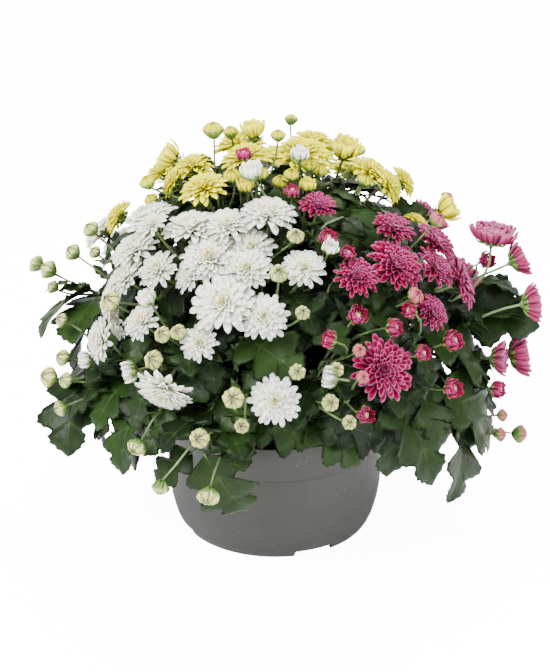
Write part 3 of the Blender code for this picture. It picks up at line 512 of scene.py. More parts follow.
def on_runs(ends, share):
    """The point at a share of a shoot's length on the straight runs of its solid."""
    for first, second in zip(SHOOT_SHARES, SHOOT_SHARES[1:]):
        if share <= second:
            return bezier(ends, first).lerp(bezier(ends, second), (share - first) / (second - first))
    return bezier(ends, 1.0)


def stalk_ways(head, shoot, share):
    """The ways that a stalk may take, in the order in which they were tried."""
    start = on_runs(shoot, share)
    ahead, behind = min(share + FORK_ENDS[0], 1.0), min(share, FORK_ENDS[1])
    along = (bezier(shoot, ahead) - bezier(shoot, behind)).normalized()
    end = head.seat - head.facing * (0.0 if head.fused else CALYX_DEPTH)
    length = (end - start).length
    side, other = across_axes((end - start).normalized())
    for bend in BENDS:
        for way in range(BEND_WAYS if bend else 1):
            angle = 2 * math.pi * way / BEND_WAYS
            shift = (side * math.cos(angle) + other * math.sin(angle)) * bend
            near = start + along * STALK_PULLS[0] * length + shift
            yield start, near, end - head.facing * STALK_PULLS[1] * length + shift * FAR_BEND, end


shoots = {plant: shoots_of(plant) for plant in PLANTS}
print("Shoots:", {plant: len(ways) for plant, ways in shoots.items()})

# %% [markdown]
# ## The stalks that are there
#
# The solids hold a three-sided tube along the way that was free. So the lesson tries the same ways in the
# same order, and takes the one whose middle has the tube's corners round it.

# %% The way of each stalk
FORK_STEP = 0.075
FORK_LOWEST = 0.36
MID_RING = (1.55 * MM, 2.1 * MM)
RING_CORNERS = 3
ENOUGH_CORNERS = 2

plant_trees = {plant: corners_of([plant + "_plant"])[0] for plant in PLANTS}


def corners_round(plant, place):
    """How many of a plant's corners lie as far from a place as a tube's corners do from its middle."""
    near = plant_trees[plant].find_range(place, MID_RING[1])
    return sum(gap > MID_RING[0] for spot, index, gap in near)


def fork_share(number):
    """How far up its shoot a stalk forks off. The first forks at the end, and each one more lower down."""
    share = 1.0 - FORK_STEP * number
    if share < FORK_LOWEST:
        share += 0.5 * FORK_STEP + (1.0 - FORK_LOWEST) // FORK_STEP * FORK_STEP
    return share


stalks = []
forks = {}
certain = 0
for head in heads:
    own = shoots[head.plant]
    near = sorted(range(len(own)), key=lambda index: (own[index][3] - head.seat).length)[:2]
    best, most, chosen, fork = None, -1, near[0], None
    for index in near:
        share = fork_share(forks.get((head.plant, index), 0))
        for way in stalk_ways(head, own[index], share):
            corners = corners_round(head.plant, bezier(way, 0.5))
            if corners > most:
                best, most, chosen, fork = way, corners, index, bezier(own[index], share)
        if most >= RING_CORNERS:
            break
    forks[head.plant, chosen] = forks.get((head.plant, chosen), 0) + 1
    stalks.append((head, (fork, *best[1:])))
    certain += most >= ENOUGH_CORNERS
print("Stalks found:", certain, "of", len(stalks))

# %% [markdown]
# ## Where the leaves may lie
#
# A leaf's place in the solids is one of a few tries, each a little deeper or turned. The tries come from
# the same seeded draws as in the solids. Besides the leaves that show, a golden spiral over the dome sets
# those that fill the rest, except over the front of the pot.

# %% Tries for each leaf
Leaf = namedtuple("Leaf", "plant base along side up length width")

LEAF_SIDE = ((0.20, 0.38), (0.40, 0.21), (0.62, 0.42))
LEAF_ARCH = 0.42
LEAF_FOLD = 0.16
LEAF_SINKS = (0.0, 0.06, 0.12, 0.18, -0.06)
SKYWARD = Vector((0.0, 0.0, 0.3))
FILL_LEAVES = 46
FILL_LEANS = (22.0, 102.0)
FILL_REACHES = (0.86, 0.80, 0.74, 0.68)
FILL_LENGTHS = (62.0 * MM, 80.0 * MM)
FILL_YAW = 55.0
FILL_TURNS = (0.0, 0.5, -0.5, 1.0, -1.0)
FILL_TILT = 0.5
FILL_LIFT = 0.25
FILL_WIDTH = 0.95
BARE_LEAN = 86.0
BARE_BEARING = 46.0
GOLDEN_ANGLE = 137.508


def leaf_from(plant, base, tip, outward, width):
    along = (tip - base).normalized()
    up = (outward - along * outward.dot(along)).normalized()
    return Leaf(plant, base, along, up.cross(along), up, (tip - base).length, width)


def seen_tries(plant):
    """For each leaf of a plant's list, its place and the same place at other depths."""
    for row in PLANTS[plant]["leaves"]:
        base_bearing, base_lean, base_reach, tip_bearing, tip_lean, tip_reach, width = row[:7]
        tries = []
        for sink in LEAF_SINKS:
            base = dome(base_bearing, base_lean, base_reach - sink)
            tip = dome(tip_bearing, tip_lean, tip_reach - sink)
            middle = (base + tip) / 2 - HEART
            outward = ray(*row[7:]) if row[7:] else middle.normalized() + SKYWARD
            tries.append(leaf_from(plant, base, tip, outward, width))
        yield tries


def fill_tries(draw, count, leans, lengths, reaches):
    """For each leaf on a golden spiral over the dome, its place at several turns and reaches."""
    high, low = (math.cos(math.radians(lean)) for lean in leans)
    for index in range(count):
        lean = math.degrees(math.acos(high + (low - high) * (index + 0.5) / count))
        bearing = (index * GOLDEN_ANGLE) % 360.0 - 180.0
        length = draw.uniform(*lengths)
        yaw = math.radians(draw.uniform(-FILL_YAW, FILL_YAW))
        tilt = draw.uniform(0.0, FILL_TILT)
        if lean > BARE_LEAN and abs(bearing) < BARE_BEARING:
            continue
        outward = ray(bearing, lean)
        downhill = ray(bearing, lean + 90.0)
        sideways = outward.cross(downhill)
        lift = outward * tilt * FILL_LIFT * length
        tries = []
        for turn in FILL_TURNS:
            way = downhill * math.cos(yaw + turn) + sideways * math.sin(yaw + turn)
            for reach in reaches:
                middle = dome(bearing, lean, reach)
                base = middle - way * length / 2 - lift
                tip = middle + way * length / 2 + lift
                tries.append(leaf_from(None, base, tip, outward + SKYWARD, FILL_WIDTH))
        yield tries


print("Golden angle:", GOLDEN_ANGLE, "degrees")

# %% [markdown]
# ## The leaves that are there
#
# The try whose tip and lobes are corners of a plant's solid is the leaf that is there.

# %% Where each leaf lies
LEAF_MATCH = 1.0 * MM
LEAF_MATCHES = 4


def leaf_point(leaf, along, out):
    """A point of a leaf's arched and folded face, at shares of its length and of its width."""
    rise = LEAF_ARCH * along * (1.0 - along) + LEAF_FOLD * abs(out)
    return leaf.base + (leaf.along * along + leaf.side * out * leaf.width + leaf.up * rise) * leaf.length


def is_there(leaf, plant):
    outline = [leaf_point(leaf, 1.0, 0.0)]
    outline += [leaf_point(leaf, along, side * out) for along, out in LEAF_SIDE for side in (-1, 1)]
    return sum(plant_trees[plant].find(spot)[2] < LEAF_MATCH for spot in outline) >= LEAF_MATCHES


leaves = []
for plant in PLANTS:
    for tries in seen_tries(plant):
        leaves += [leaf for leaf in tries if is_there(leaf, plant)][:1]
seen_count = len(leaves)
for tries in fill_tries(random.Random(SEED), FILL_LEAVES, FILL_LEANS, FILL_LENGTHS, FILL_REACHES):
    leaves += [leaf._replace(plant=plant) for leaf in tries for plant in PLANTS if is_there(leaf, plant)][:1]
print("Leaves that show:", seen_count, "and leaves that fill:", len(leaves) - seen_count)

# %% [markdown]
# ## Trees that grow what repeats
#
# Petals, scales, leaves, stems and crumbs of soil repeat by the hundred, so Geometry Nodes place them. Each
# tree below has named inputs, and one function runs a tree and hands back its plain mesh.

# %% Making and running a tree
GOLDEN_TURN = math.radians(GOLDEN_ANGLE)


def new_tree(name, inputs):
    """A Geometry Nodes tree, its inputs by name and the socket that its shape leaves by."""
    tree = bpy.data.node_groups.new(name, "GeometryNodeTree")
    tree.interface.new_socket("Geometry", in_out="INPUT", socket_type="NodeSocketGeometry")
    tree.interface.new_socket("Geometry", in_out="OUTPUT", socket_type="NodeSocketGeometry")
    for label, kind in inputs.items():
        tree.interface.new_socket(label, in_out="INPUT", socket_type="NodeSocket" + kind)
    return tree, tree.nodes.new("NodeGroupInput").outputs, tree.nodes.new("NodeGroupOutput").inputs[0]


def grow(tree, base, values):
    """The plain mesh that a tree makes from a base mesh or curve and its inputs' values."""
    holder = show("holder", base)
    run = holder.modifiers.new("Grow", "NODES")
    run.node_group = tree
    for item in tree.interface.items_tree:
        if item.in_out == "INPUT" and item.name in values:
            run[item.identifier] = values[item.name]
    graph = bpy.context.evaluated_depsgraph_get()
    mesh = bpy.data.meshes.new_from_object(
        holder.evaluated_get(graph), preserve_all_data_layers=True, depsgraph=graph)
    bpy.data.objects.remove(holder, do_unlink=True)
    return mesh


def end_tree(tree, shape, finish, result):
    """Ends a tree: plain geometry in place of instances, and then its material."""
    real = put(tree, "GeometryNodeRealizeInstances", {"Geometry": shape})
    finished = put(tree, "GeometryNodeSetMaterial", {"Geometry": real, "Material": finish})
    tree.links.new(finished, result)


def mesh_from(name, shape, materials=()):
    """Ends the work on a shape and hands back its mesh."""
    mesh = bpy.data.meshes.new(name)
    for material in materials:
        mesh.materials.append(material)
    shape.to_mesh(mesh)
    shape.free()
    return mesh


def joined(name, meshes, materials):
    """One mesh from many, each with one of the materials."""
    shape = bmesh.new()
    for mesh in meshes:
        before = len(shape.faces)
        shape.from_mesh(mesh)
        shape.faces.ensure_lookup_table()
        for index in range(before, len(shape.faces)):
            shape.faces[index].material_index = materials.index(mesh.materials[-1])
    return mesh_from(name, shape, materials)


def dress(name, mesh, slot, *nodes):
    """Shows a finished mesh as a piece of the one rigid body, in place of solids."""
    piece = show(name, mesh)
    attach(piece, "root")
    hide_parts(*nodes)
    return piece


bare = bpy.data.meshes.new("bare")
bare.from_pydata([(0.0, 0.0, 0.0)], [], [])
print("The golden angle in radians:", round(GOLDEN_TURN, 4))

# %% [markdown]
# ## One blade for every petal and scale
#
# A chrysanthemum's petal is a thin strap, narrow at its foot, rounded at its tip and channelled along its
# middle. A scale of the green cup is the same strap, shorter and bowed. Both are a unit long here and
# closed: an upper and a lower sheet share one edge, so they keep a true thickness.

# %% Petal and scale blades
STRAP = ((0.0, 0.42), (0.22, 0.60), (0.45, 0.84), (0.70, 1.0), (0.90, 0.88), (0.985, 0.48))
POINTED = ((0.0, 0.55), (0.25, 0.95), (0.5, 1.0), (0.72, 0.78), (0.9, 0.40), (0.985, 0.12))
GORE = ((0.0, 0.30), (0.14, 0.72), (0.34, 1.0), (0.56, 1.0), (0.78, 0.72), (0.95, 0.26))
MIDDLE_LEAD = 0.02


def blade(name, outline, bow, channel, thick, share=1.0):
    """A closed strap along +X. bow lifts its middle, and channel lifts its edges above its middle line.

    The middle line runs a little ahead of the edges, which rounds the tip. A share below 1 keeps that part
    of the strap's bow alone, so a scale can hug the petals over it.
    """
    shape = bmesh.new()
    layer = shape.loops.layers.uv.new("UVMap")
    reverse = shape.faces.layers.float.new("reverse")
    rows = []
    for number, (along, half) in enumerate(outline):
        rise = bow * math.sin(math.pi * along * share)
        ends = number in (0, len(outline) - 1)
        lift = 0.0 if ends else thick / 2
        deep = channel * half
        out = along * share
        left = shape.verts.new((out, -half, rise + deep))
        right = shape.verts.new((out, half, rise + deep))
        upper = shape.verts.new((out + (MIDDLE_LEAD if number else 0.0), 0.0, rise + lift))
        lower = upper if ends else shape.verts.new((out + MIDDLE_LEAD, 0.0, rise - lift))
        rows.append((along, left, upper, lower, right))
    for near, far in zip(rows, rows[1:]):
        for is_lower in (0, 1):
            middle = 3 if is_lower else 2
            for first, second, across in ((1, middle, (0.0, 0.5)), (middle, 4, (0.5, 1.0))):
                corners = [near[first], far[first], far[second], near[second]]
                spots = [(near[0], across[0]), (far[0], across[0]), (far[0], across[1]), (near[0], across[1])]
                if is_lower:
                    corners.reverse()
                    spots.reverse()
                face = shape.faces.new(corners)
                face.smooth = True
                face[reverse] = float(is_lower)
                for loop, spot in zip(face.loops, spots):
                    loop[layer].uv = spot
    bmesh.ops.recalc_face_normals(shape, faces=shape.faces)
    return mesh_from(name, shape)


blades = {
    "open petal": blade("open petal", STRAP, bow=0.07, channel=0.10, thick=0.035),
    "incurved petal": blade("incurved petal", STRAP, bow=-0.17, channel=0.10, thick=0.035),
    "folded petal": blade("folded petal", GORE, bow=-0.50, channel=0.02, thick=0.04),
    "scale": blade("scale", POINTED, bow=-0.17, channel=0.10, thick=0.05),
    "bud scale": blade("bud scale", POINTED, bow=-0.50, channel=0.02, thick=0.04, share=0.52),
    "cup scale": blade("cup scale", POINTED, bow=-0.19, channel=0.02, thick=0.04, share=0.62),
}
blade_sources = {name: bpy.data.objects.new(name, mesh) for name, mesh in blades.items()}
print({name: len(mesh.polygons) * 2 for name, mesh in blades.items()}, "triangles a blade")

# %% [markdown]
# ## Petals in a golden spiral
#
# A flower head sets each petal 137.5 degrees on from the last. The first are the outermost, long and
# nearly flat, and the last are short and upright. One tree makes open blooms, half-open blooms, folded
# buds and green cups, by its inputs alone. Four random draws keep each petal from being quite regular.

# %% The spiral tree: each petal's way and size
SEED_STEP = 31.0
UNEVEN_TURN = 0.12
UNEVEN_TILT = -0.10
UNEVEN_LENGTH = 0.06
UNEVEN_ROLL = 0.25

spiral, given, result = new_tree("petals in a golden spiral", {
    "Blade": "Object", "Count": "Int", "Radius": "Float", "Lowest": "Float", "Highest": "Float",
    "Quickening": "Float", "Longest": "Float", "Shortest": "Float", "Breadth": "Float", "Narrowing": "Float",
    "Foot": "Float", "Lift": "Float", "Ragged": "Float", "Seed": "Int", "Finish": "Material",
})
index = put(spiral, "GeometryNodeInputIndex")
last = put(spiral, "ShaderNodeMath", {0: given["Count"], 1: 1.0}, operation="SUBTRACT")
share = put(spiral, "ShaderNodeMath", {0: index, 1: last}, operation="DIVIDE")
quick = put(spiral, "ShaderNodeMath", {0: share, 1: given["Quickening"]}, operation="POWER")
chances = []
for step in range(4):
    seed = put(spiral, "ShaderNodeMath", {0: given["Seed"], 1: SEED_STEP * step}, operation="ADD")
    chance = put(spiral, "FunctionNodeRandomValue", {
        2: -1.0, 3: 1.0, "Seed": seed}, data_type="FLOAT", out=1)
    chances.append(put(spiral, "ShaderNodeMath", {0: chance, 1: given["Ragged"]}, operation="MULTIPLY"))
swing = put(spiral, "ShaderNodeMath", {0: chances[0], 1: UNEVEN_TURN}, operation="MULTIPLY")
turn = put(spiral, "ShaderNodeMath", {0: index, 1: GOLDEN_TURN, 2: swing}, operation="MULTIPLY_ADD")
rise = put(spiral, "ShaderNodeMapRange", {0: quick, 3: given["Lowest"], 4: given["Highest"]})
tilt = put(spiral, "ShaderNodeMath", {0: chances[1], 1: UNEVEN_TILT, 2: rise}, operation="MULTIPLY_ADD")
tilt_down = put(spiral, "ShaderNodeMath", {0: tilt, 1: -1.0}, operation="MULTIPLY")
reach = put(spiral, "ShaderNodeMapRange", {0: share, 3: given["Longest"], 4: given["Shortest"]})
uneven = put(spiral, "ShaderNodeMath", {0: chances[2], 1: UNEVEN_LENGTH, 2: 1.0}, operation="MULTIPLY_ADD")
long = put(spiral, "ShaderNodeMath", {0: reach, 1: uneven}, operation="MULTIPLY")
length = put(spiral, "ShaderNodeMath", {0: long, 1: given["Radius"]}, operation="MULTIPLY")
narrow = put(spiral, "ShaderNodeMapRange", {0: share, 3: 1.0, 4: given["Narrowing"]})
broad = put(spiral, "ShaderNodeMath", {0: given["Breadth"], 1: narrow}, operation="MULTIPLY")
width = put(spiral, "ShaderNodeMath", {0: broad, 1: given["Radius"]}, operation="MULTIPLY")
roll = put(spiral, "ShaderNodeMath", {0: chances[3], 1: UNEVEN_ROLL}, operation="MULTIPLY")
angles = put(spiral, "ShaderNodeCombineXYZ", {0: roll, 1: tilt_down, 2: turn})
facing = put(spiral, "FunctionNodeEulerToRotation", {0: angles})
size = put(spiral, "ShaderNodeCombineXYZ", {0: length, 1: width, 2: length})
print("So far the spiral tree has", len(spiral.nodes), "nodes")

# %% [markdown]
# ## Petals on their places
#
# Seeds in a sunflower lie at the square root of their number from the middle, so that they fill the disc
# evenly. The petals' feet follow the same rule on a small dome, and the last stands just off the axis.
# Each petal keeps its row and its random shade as attributes, which its material reads.

# %% The spiral tree: petals on their places
HEART_GAP = 1.02

left_over = put(spiral, "ShaderNodeMath", {0: HEART_GAP, 1: share}, operation="SUBTRACT")
inward = put(spiral, "ShaderNodeMath", {0: left_over, 1: 0.5}, operation="POWER")
foot = put(spiral, "ShaderNodeMath", {0: inward, 1: given["Foot"]}, operation="MULTIPLY")
out = put(spiral, "ShaderNodeMath", {0: foot, 1: given["Radius"]}, operation="MULTIPLY")
cosine = put(spiral, "ShaderNodeMath", {0: turn}, operation="COSINE")
sine = put(spiral, "ShaderNodeMath", {0: turn}, operation="SINE")
east = put(spiral, "ShaderNodeMath", {0: out, 1: cosine}, operation="MULTIPLY")
north = put(spiral, "ShaderNodeMath", {0: out, 1: sine}, operation="MULTIPLY")
lifted = put(spiral, "ShaderNodeMath", {0: share, 1: given["Lift"]}, operation="MULTIPLY")
high = put(spiral, "ShaderNodeMath", {0: lifted, 1: given["Radius"]}, operation="MULTIPLY")
place = put(spiral, "ShaderNodeCombineXYZ", {0: east, 1: north, 2: high})
source = put(spiral, "GeometryNodeObjectInfo", {"Object": given["Blade"]}, out="Geometry")
line = put(spiral, "GeometryNodeMeshLine", {"Count": given["Count"], "Offset": (0.0, 0.0, 0.0)})
spread = put(spiral, "GeometryNodeSetPosition", {"Geometry": line, "Position": place})
petals = put(spiral, "GeometryNodeInstanceOnPoints", {
    "Points": spread, "Instance": source, "Rotation": facing, "Scale": size})
rowed = put(spiral, "GeometryNodeStoreNamedAttribute", {
    "Geometry": petals, "Name": "row", "Value": share}, data_type="FLOAT", domain="INSTANCE")
shaded = put(spiral, "GeometryNodeStoreNamedAttribute", {
    "Geometry": rowed, "Name": "shade", "Value": chances[0]}, data_type="FLOAT", domain="INSTANCE")
end_tree(spiral, shaded, given["Finish"], result)
print("The spiral tree has", len(spiral.nodes), "nodes")

# %% [markdown]
# ## Petal finishes
#
# A petal is a thin leaf of wet cells. Light enters it and comes out softened, so it gets some subsurface
# light and a dull, velvety surface. The upper face carries most of the dye, and the reverse is paler.

# %% Living petals
PETAL_DYES = {
    "white": {"face": "#fffde2", "reverse": "#fcf9da", "foot": "#f2f2c4", "heart": "#efe058",
              "eye": "#c4ac20", "edge": "#fffdea"},
    "magenta": {"face": "#660320", "reverse": "#8a2c50", "foot": "#480418", "heart": "#4c0418",
                "eye": "#5c0c20", "edge": "#96305e"},
    "yellow": {"face": "#eae200", "reverse": "#e6dc00", "foot": "#d8c400", "heart": "#e0cc00",
               "eye": "#cc9c00", "edge": "#e8e000"},
}
LIGHT_THROUGH = {"white": 1.0, "magenta": 0.35, "yellow": 0.35}
FOOT_FADE = (0.05, 0.55)
HEART_FADE = (0.40, 0.85)
MARGIN_FADE = (0.34, 0.50)
TIP_FADE = (0.86, 1.0)
EYE_FROM = 0.94
EYE_FADE = 0.05
RIBS = 3.5
RIB_TONE = (0.05, 0.95)
UNEVEN_TONE = 0.06


def petal_material(plant, name, dyes, eye_from=EYE_FROM):
    """A petal whose colour changes from foot to tip, from the outer rows to the heart, and on its reverse."""
    material, tree, shader = new_material(f"{plant} {name}", roughness=0.62)
    place = put(tree, "ShaderNodeTexCoord", out="UV")
    along = put(tree, "ShaderNodeSeparateXYZ", {0: place}).node.outputs
    row = put(tree, "ShaderNodeAttribute", attribute_name="row", out="Fac")
    shade = put(tree, "ShaderNodeAttribute", attribute_name="shade", out="Fac")
    reverse = put(tree, "ShaderNodeAttribute", attribute_name="reverse", out="Fac")
    foot = put(tree, "ShaderNodeMapRange", {0: along[0], 1: FOOT_FADE[0], 2: FOOT_FADE[1]}, clamp=True)
    face = put(tree, "ShaderNodeMix", {
        0: foot, 6: linear(dyes["foot"]), 7: linear(dyes["face"])}, data_type="RGBA", out=2)
    inner = put(tree, "ShaderNodeMapRange", {0: row, 1: HEART_FADE[0], 2: HEART_FADE[1]}, clamp=True)
    warm = put(tree, "ShaderNodeMix", {
        0: inner, 6: face, 7: linear(dyes["heart"])}, data_type="RGBA", out=2)
    offset = put(tree, "ShaderNodeMath", {0: along[1], 1: 0.5}, operation="SUBTRACT")
    aside = put(tree, "ShaderNodeMath", {0: offset}, operation="ABSOLUTE")
    margin = put(tree, "ShaderNodeMapRange", {0: aside, 1: MARGIN_FADE[0], 2: MARGIN_FADE[1]}, clamp=True)
    tip = put(tree, "ShaderNodeMapRange", {0: along[0], 1: TIP_FADE[0], 2: TIP_FADE[1]}, clamp=True)
    rim = put(tree, "ShaderNodeMath", {0: margin, 1: tip}, operation="MAXIMUM")
    edged = put(tree, "ShaderNodeMix", {0: rim, 6: warm, 7: linear(dyes["edge"])}, data_type="RGBA", out=2)
    backed = put(tree, "ShaderNodeMix", {
        0: reverse, 6: edged, 7: linear(dyes["reverse"])}, data_type="RGBA", out=2)
    middle = put(tree, "ShaderNodeMapRange", {0: row, 1: eye_from, 2: eye_from + EYE_FADE}, clamp=True)
    eyed = put(tree, "ShaderNodeMix", {
        0: middle, 6: backed, 7: linear(dyes["eye"])}, data_type="RGBA", out=2)
    ribs = put(tree, "ShaderNodeMath", {0: along[1], 1: RIBS * 2 * math.pi}, operation="MULTIPLY")
    wave = put(tree, "ShaderNodeMath", {0: ribs}, operation="SINE")
    depth = put(tree, "ShaderNodeMath", {0: wave, 1: RIB_TONE[0], 2: RIB_TONE[1]}, operation="MULTIPLY_ADD")
    uneven = put(tree, "ShaderNodeMath", {0: shade, 1: UNEVEN_TONE, 2: depth}, operation="MULTIPLY_ADD")
    tone = put(tree, "ShaderNodeHueSaturation", {"Color": eyed, "Value": uneven})
    tree.links.new(tone, shader.inputs["Base Color"])
    bump = put(tree, "ShaderNodeBump", {"Strength": 0.25, "Distance": 0.2 * MM, "Height": wave})
    tree.links.new(bump, shader.inputs["Normal"])
    shader.inputs["Subsurface Weight"].default_value = LIGHT_THROUGH[plant]
    shader.inputs["Subsurface Radius"].default_value = (1.0, 0.9, 0.8)
    shader.inputs["Subsurface Scale"].default_value = 4.0 * MM
    shader.inputs["Specular IOR Level"].default_value = 0.02
    return material


petal_finishes = {plant: petal_material(plant, "ray petals", dyes) for plant, dyes in PETAL_DYES.items()}
print("Petal finishes:", sorted(petal_finishes))

# %% [markdown]
# ## Blooms
#
# An open bloom's outer petals lie nearly flat and the inner ones stand up round the heart. A half-open
# bloom holds all its petals up and bowed in. Each solid is replaced by the petals of the heads it holds.

# %% Petals for every bloom
OPEN_COUNT = (60, 2600.0)
CUP_COUNT = (34, 1200.0)
OPEN_FORM = {
    "Lowest": math.radians(6), "Highest": math.radians(84), "Quickening": 1.05, "Longest": 0.90,
    "Shortest": 0.26, "Breadth": 0.125, "Narrowing": 0.55, "Foot": 0.15, "Lift": 0.20, "Ragged": 0.9,
}
OPEN_FORMS = {
    "white": OPEN_FORM,
    "magenta": dict(OPEN_FORM, Longest=0.95, Breadth=0.11, Lift=0.14),
    "yellow": dict(OPEN_FORM, Lowest=math.radians(-4), Longest=0.96, Lift=0.32, Shortest=0.32),
}
FUNNEL_FORM = dict(
    OPEN_FORM, Lowest=math.radians(40), Longest=0.98, Shortest=0.5, Breadth=0.15, Foot=0.30, Lift=0.06)
FUNNEL_BEARING = 74.0
CUP_FORM = {
    "Lowest": math.radians(56), "Highest": math.radians(88), "Quickening": 0.7, "Longest": 1.28,
    "Shortest": 0.72, "Breadth": 0.20, "Narrowing": 0.6, "Foot": 0.32, "Lift": 0.10, "Ragged": 0.8,
}


def stand_on(place, axis):
    """The matrix that sets a shape made round +Z at a place, along an axis."""
    side, other = across_axes(axis)
    return Matrix.Translation(place) @ Matrix((side, other, axis)).transposed().to_4x4()


def is_funnel(head):
    """Whether a bloom is one of the far magenta ones, which haven't opened flat yet."""
    bearing = math.degrees(math.atan2(head.seat.x, -head.seat.y))
    return head.plant == "magenta" and head.kind == "open" and bearing > FUNNEL_BEARING


def spiral_at(form, blade_name, count, radius, seed, finish, matrix):
    """A mesh of blades in a golden spiral, set at its place."""
    values = dict(form, Blade=blade_sources[blade_name], Count=count, Radius=radius, Seed=seed, Finish=finish)
    mesh = grow(spiral, bare, values)
    mesh.transform(matrix)
    return mesh


def petals_of(head, seed):
    """The petals of an open or a half-open bloom, more of them on a wider one."""
    if head.kind == "cup":
        form, kind = CUP_FORM, "incurved petal"
    elif is_funnel(head):
        form, kind = FUNNEL_FORM, "incurved petal"
    else:
        form, kind = OPEN_FORMS[head.plant], "open petal"
    base, per_metre = OPEN_COUNT if head.kind == "open" else CUP_COUNT
    count = round(base + per_metre * head.radius)
    matrix = stand_on(head.seat, head.facing)
    return spiral_at(form, kind, count, head.radius, seed, petal_finishes[head.plant], matrix)


bloom_triangles = 0
for name, own in heads_in.items():
    meshes = [petals_of(head, heads.index(head)) for head in own]
    plant = own[0].plant
    whole = joined(name.replace("bloom", "petals"), meshes, [petal_finishes[plant]])
    dress(whole.name, whole, plant + "_petal", name)
    bloom_triangles += len(whole.polygons) * 2
print("Blooms:", bloom_triangles, "triangles")

# %% [markdown]
# ## Dyes of buds and of small half-open blooms
#
# A bud is greener than its bloom, because the folded petals show their reverse and their green foot. A
# small half-open bloom is as deep in colour as an open one, and its heart is still a pale eye.

# %% Dyes of the smaller heads
BUD_DYES = {
    "white": {"face": "#e8e078", "reverse": "#dcd868", "foot": "#6a8a14", "heart": "#eee288",
              "eye": "#a89c28", "edge": "#a4b038"},
    "magenta": {"face": "#b05a5c", "reverse": "#ac5458", "foot": "#889034", "heart": "#983048",
                "eye": "#882840", "edge": "#a0404c"},
    "yellow": {"face": "#dcd008", "reverse": "#d4ca08", "foot": "#7c9018", "heart": "#dcc804",
               "eye": "#c0a808", "edge": "#b8b410"},
}
CUP_DYES = {
    "white": {"face": "#fffde2", "reverse": "#f8f5d0", "foot": "#d4dc90", "heart": "#f2e890",
              "eye": "#e4cc60", "edge": "#fffdea"},
    "magenta": {"face": "#4a0314", "reverse": "#801838", "foot": "#6c6c2c", "heart": "#440312",
                "eye": "#f0d478", "edge": "#6a1028"},
    "yellow": {"face": "#e4da00", "reverse": "#dcd000", "foot": "#b8b808", "heart": "#e0cc00",
               "eye": "#cc9c00", "edge": "#e4dc00"},
}
CUP_EYE = 0.82

bud_finishes = {plant: petal_material(plant, "folded petals", dyes) for plant, dyes in BUD_DYES.items()}
cup_finishes = {
    plant: petal_material(plant, "half-open petals", dyes, CUP_EYE) for plant, dyes in CUP_DYES.items()}
print("Bud finishes:", sorted(bud_finishes))

# %% [markdown]
# ## Closed buds and small half-open blooms
#
# A closed bud is a ball of petals folded over one another, held in a cup of green scales. The spiral tree
# grows the ball from a blade that bows a long way out, and a few upright petals fill the dimple where the
# tips meet. Small half-open blooms belong to the green solid of their plant, so they are made here too.
# Side buds are too small for the solids, and stand on the dome or a little below it.

# %% Buds
BUD_FORM = {
    "Lowest": math.radians(99), "Highest": math.radians(93), "Quickening": 1.0, "Longest": 1.42,
    "Shortest": 1.28, "Breadth": 0.26, "Narrowing": 0.85, "Foot": 0.24, "Lift": 0.02, "Ragged": 0.2,
}
BUD_PETALS = 20
BUD_SWELL = 1.20
HEART_FORM = {
    "Lowest": math.radians(84), "Highest": math.radians(90), "Quickening": 1.0, "Longest": 1.26,
    "Shortest": 1.16, "Breadth": 0.09, "Narrowing": 0.8, "Foot": 0.06, "Lift": 0.0, "Ragged": 0.5,
}
HEART_PETALS = 7
SMALL_CUP_FORM = {
    "Lowest": math.radians(66), "Highest": math.radians(92), "Quickening": 0.6, "Longest": 1.22,
    "Shortest": 0.92, "Breadth": 0.24, "Narrowing": 0.45, "Foot": 0.44, "Lift": 0.05, "Ragged": 0.3,
}
SMALL_CUP_PETALS = 38
SIDE_BUDS = {
    "white": ((-88, 65, 1.03, 12), (-68, 50, 1.00, 11), (-68, 66, 1.00, 12), (-24, 59, 1.00, 12),
              (-7, 75, 1.00, 11), (7, 54, 1.00, 11), (5, 65, 1.00, 12), (16, 75, 1.00, 11),
              (14, 65, 1.00, 11)),
    "magenta": ((68, 87, 1.00, 11), (20, 62, 1.00, 10), (20, 67, 1.00, 10)),
    "yellow": ((10, 21, 1.00, 12), (170, 22, 1.06, 12), (-32, 19, 0.96, 15), (-12, 16, 0.95, 14),
               (4, 19, 0.95, 13), (38, 17, 0.96, 14), (-52, 24, 0.94, 14), (28, 12, 0.97, 14),
               (66, 24, 0.95, 13), (-70, 33, 0.96, 12), (130, 28, 1.00, 13), (-160, 30, 1.00, 13),
               (-178, 50, 1.00, 13), (-135, 58, 1.00, 12)),
}
side_heads = [head_from(plant, "bud", row) for plant, rows in SIDE_BUDS.items() for row in rows]

for plant in PLANTS:
    meshes = []
    for number, head in enumerate(heads + side_heads):
        if head.plant != plant or not head.fused:
            continue
        matrix = stand_on(head.seat, head.facing)
        if head.kind == "bud":
            for form, kind, count in (
                    (BUD_FORM, "folded petal", BUD_PETALS), (HEART_FORM, "open petal", HEART_PETALS)):
                meshes.append(spiral_at(
                    form, kind, count, head.radius * BUD_SWELL, number, bud_finishes[plant], matrix))
        else:
            meshes.append(spiral_at(
                SMALL_CUP_FORM, "incurved petal", SMALL_CUP_PETALS, head.radius, number, cup_finishes[plant],
                matrix))
    materials = [bud_finishes[plant], cup_finishes[plant]]
    whole = joined(plant + "_buds", meshes, materials)
    dress(whole.name, whole, plant + "_petal", plant + "_plant")
    print(whole.name, len(whole.polygons) * 2, "triangles")

# %% [markdown]
# ## Leaf finish
#
# A chrysanthemum leaf is dark green with a greyish bloom of fine down, and its veins are paler. The
# underside is lighter and duller.

# %% Downy leaves
LEAF_DARK, LEAF_LIGHT, LEAF_VEIN, LEAF_REVERSE = "#0a1606", "#1c300c", "#233615", "#293c1c"
VEIN_HALF_WIDTH = 0.012
SIDE_VEIN_TONE = 0.8
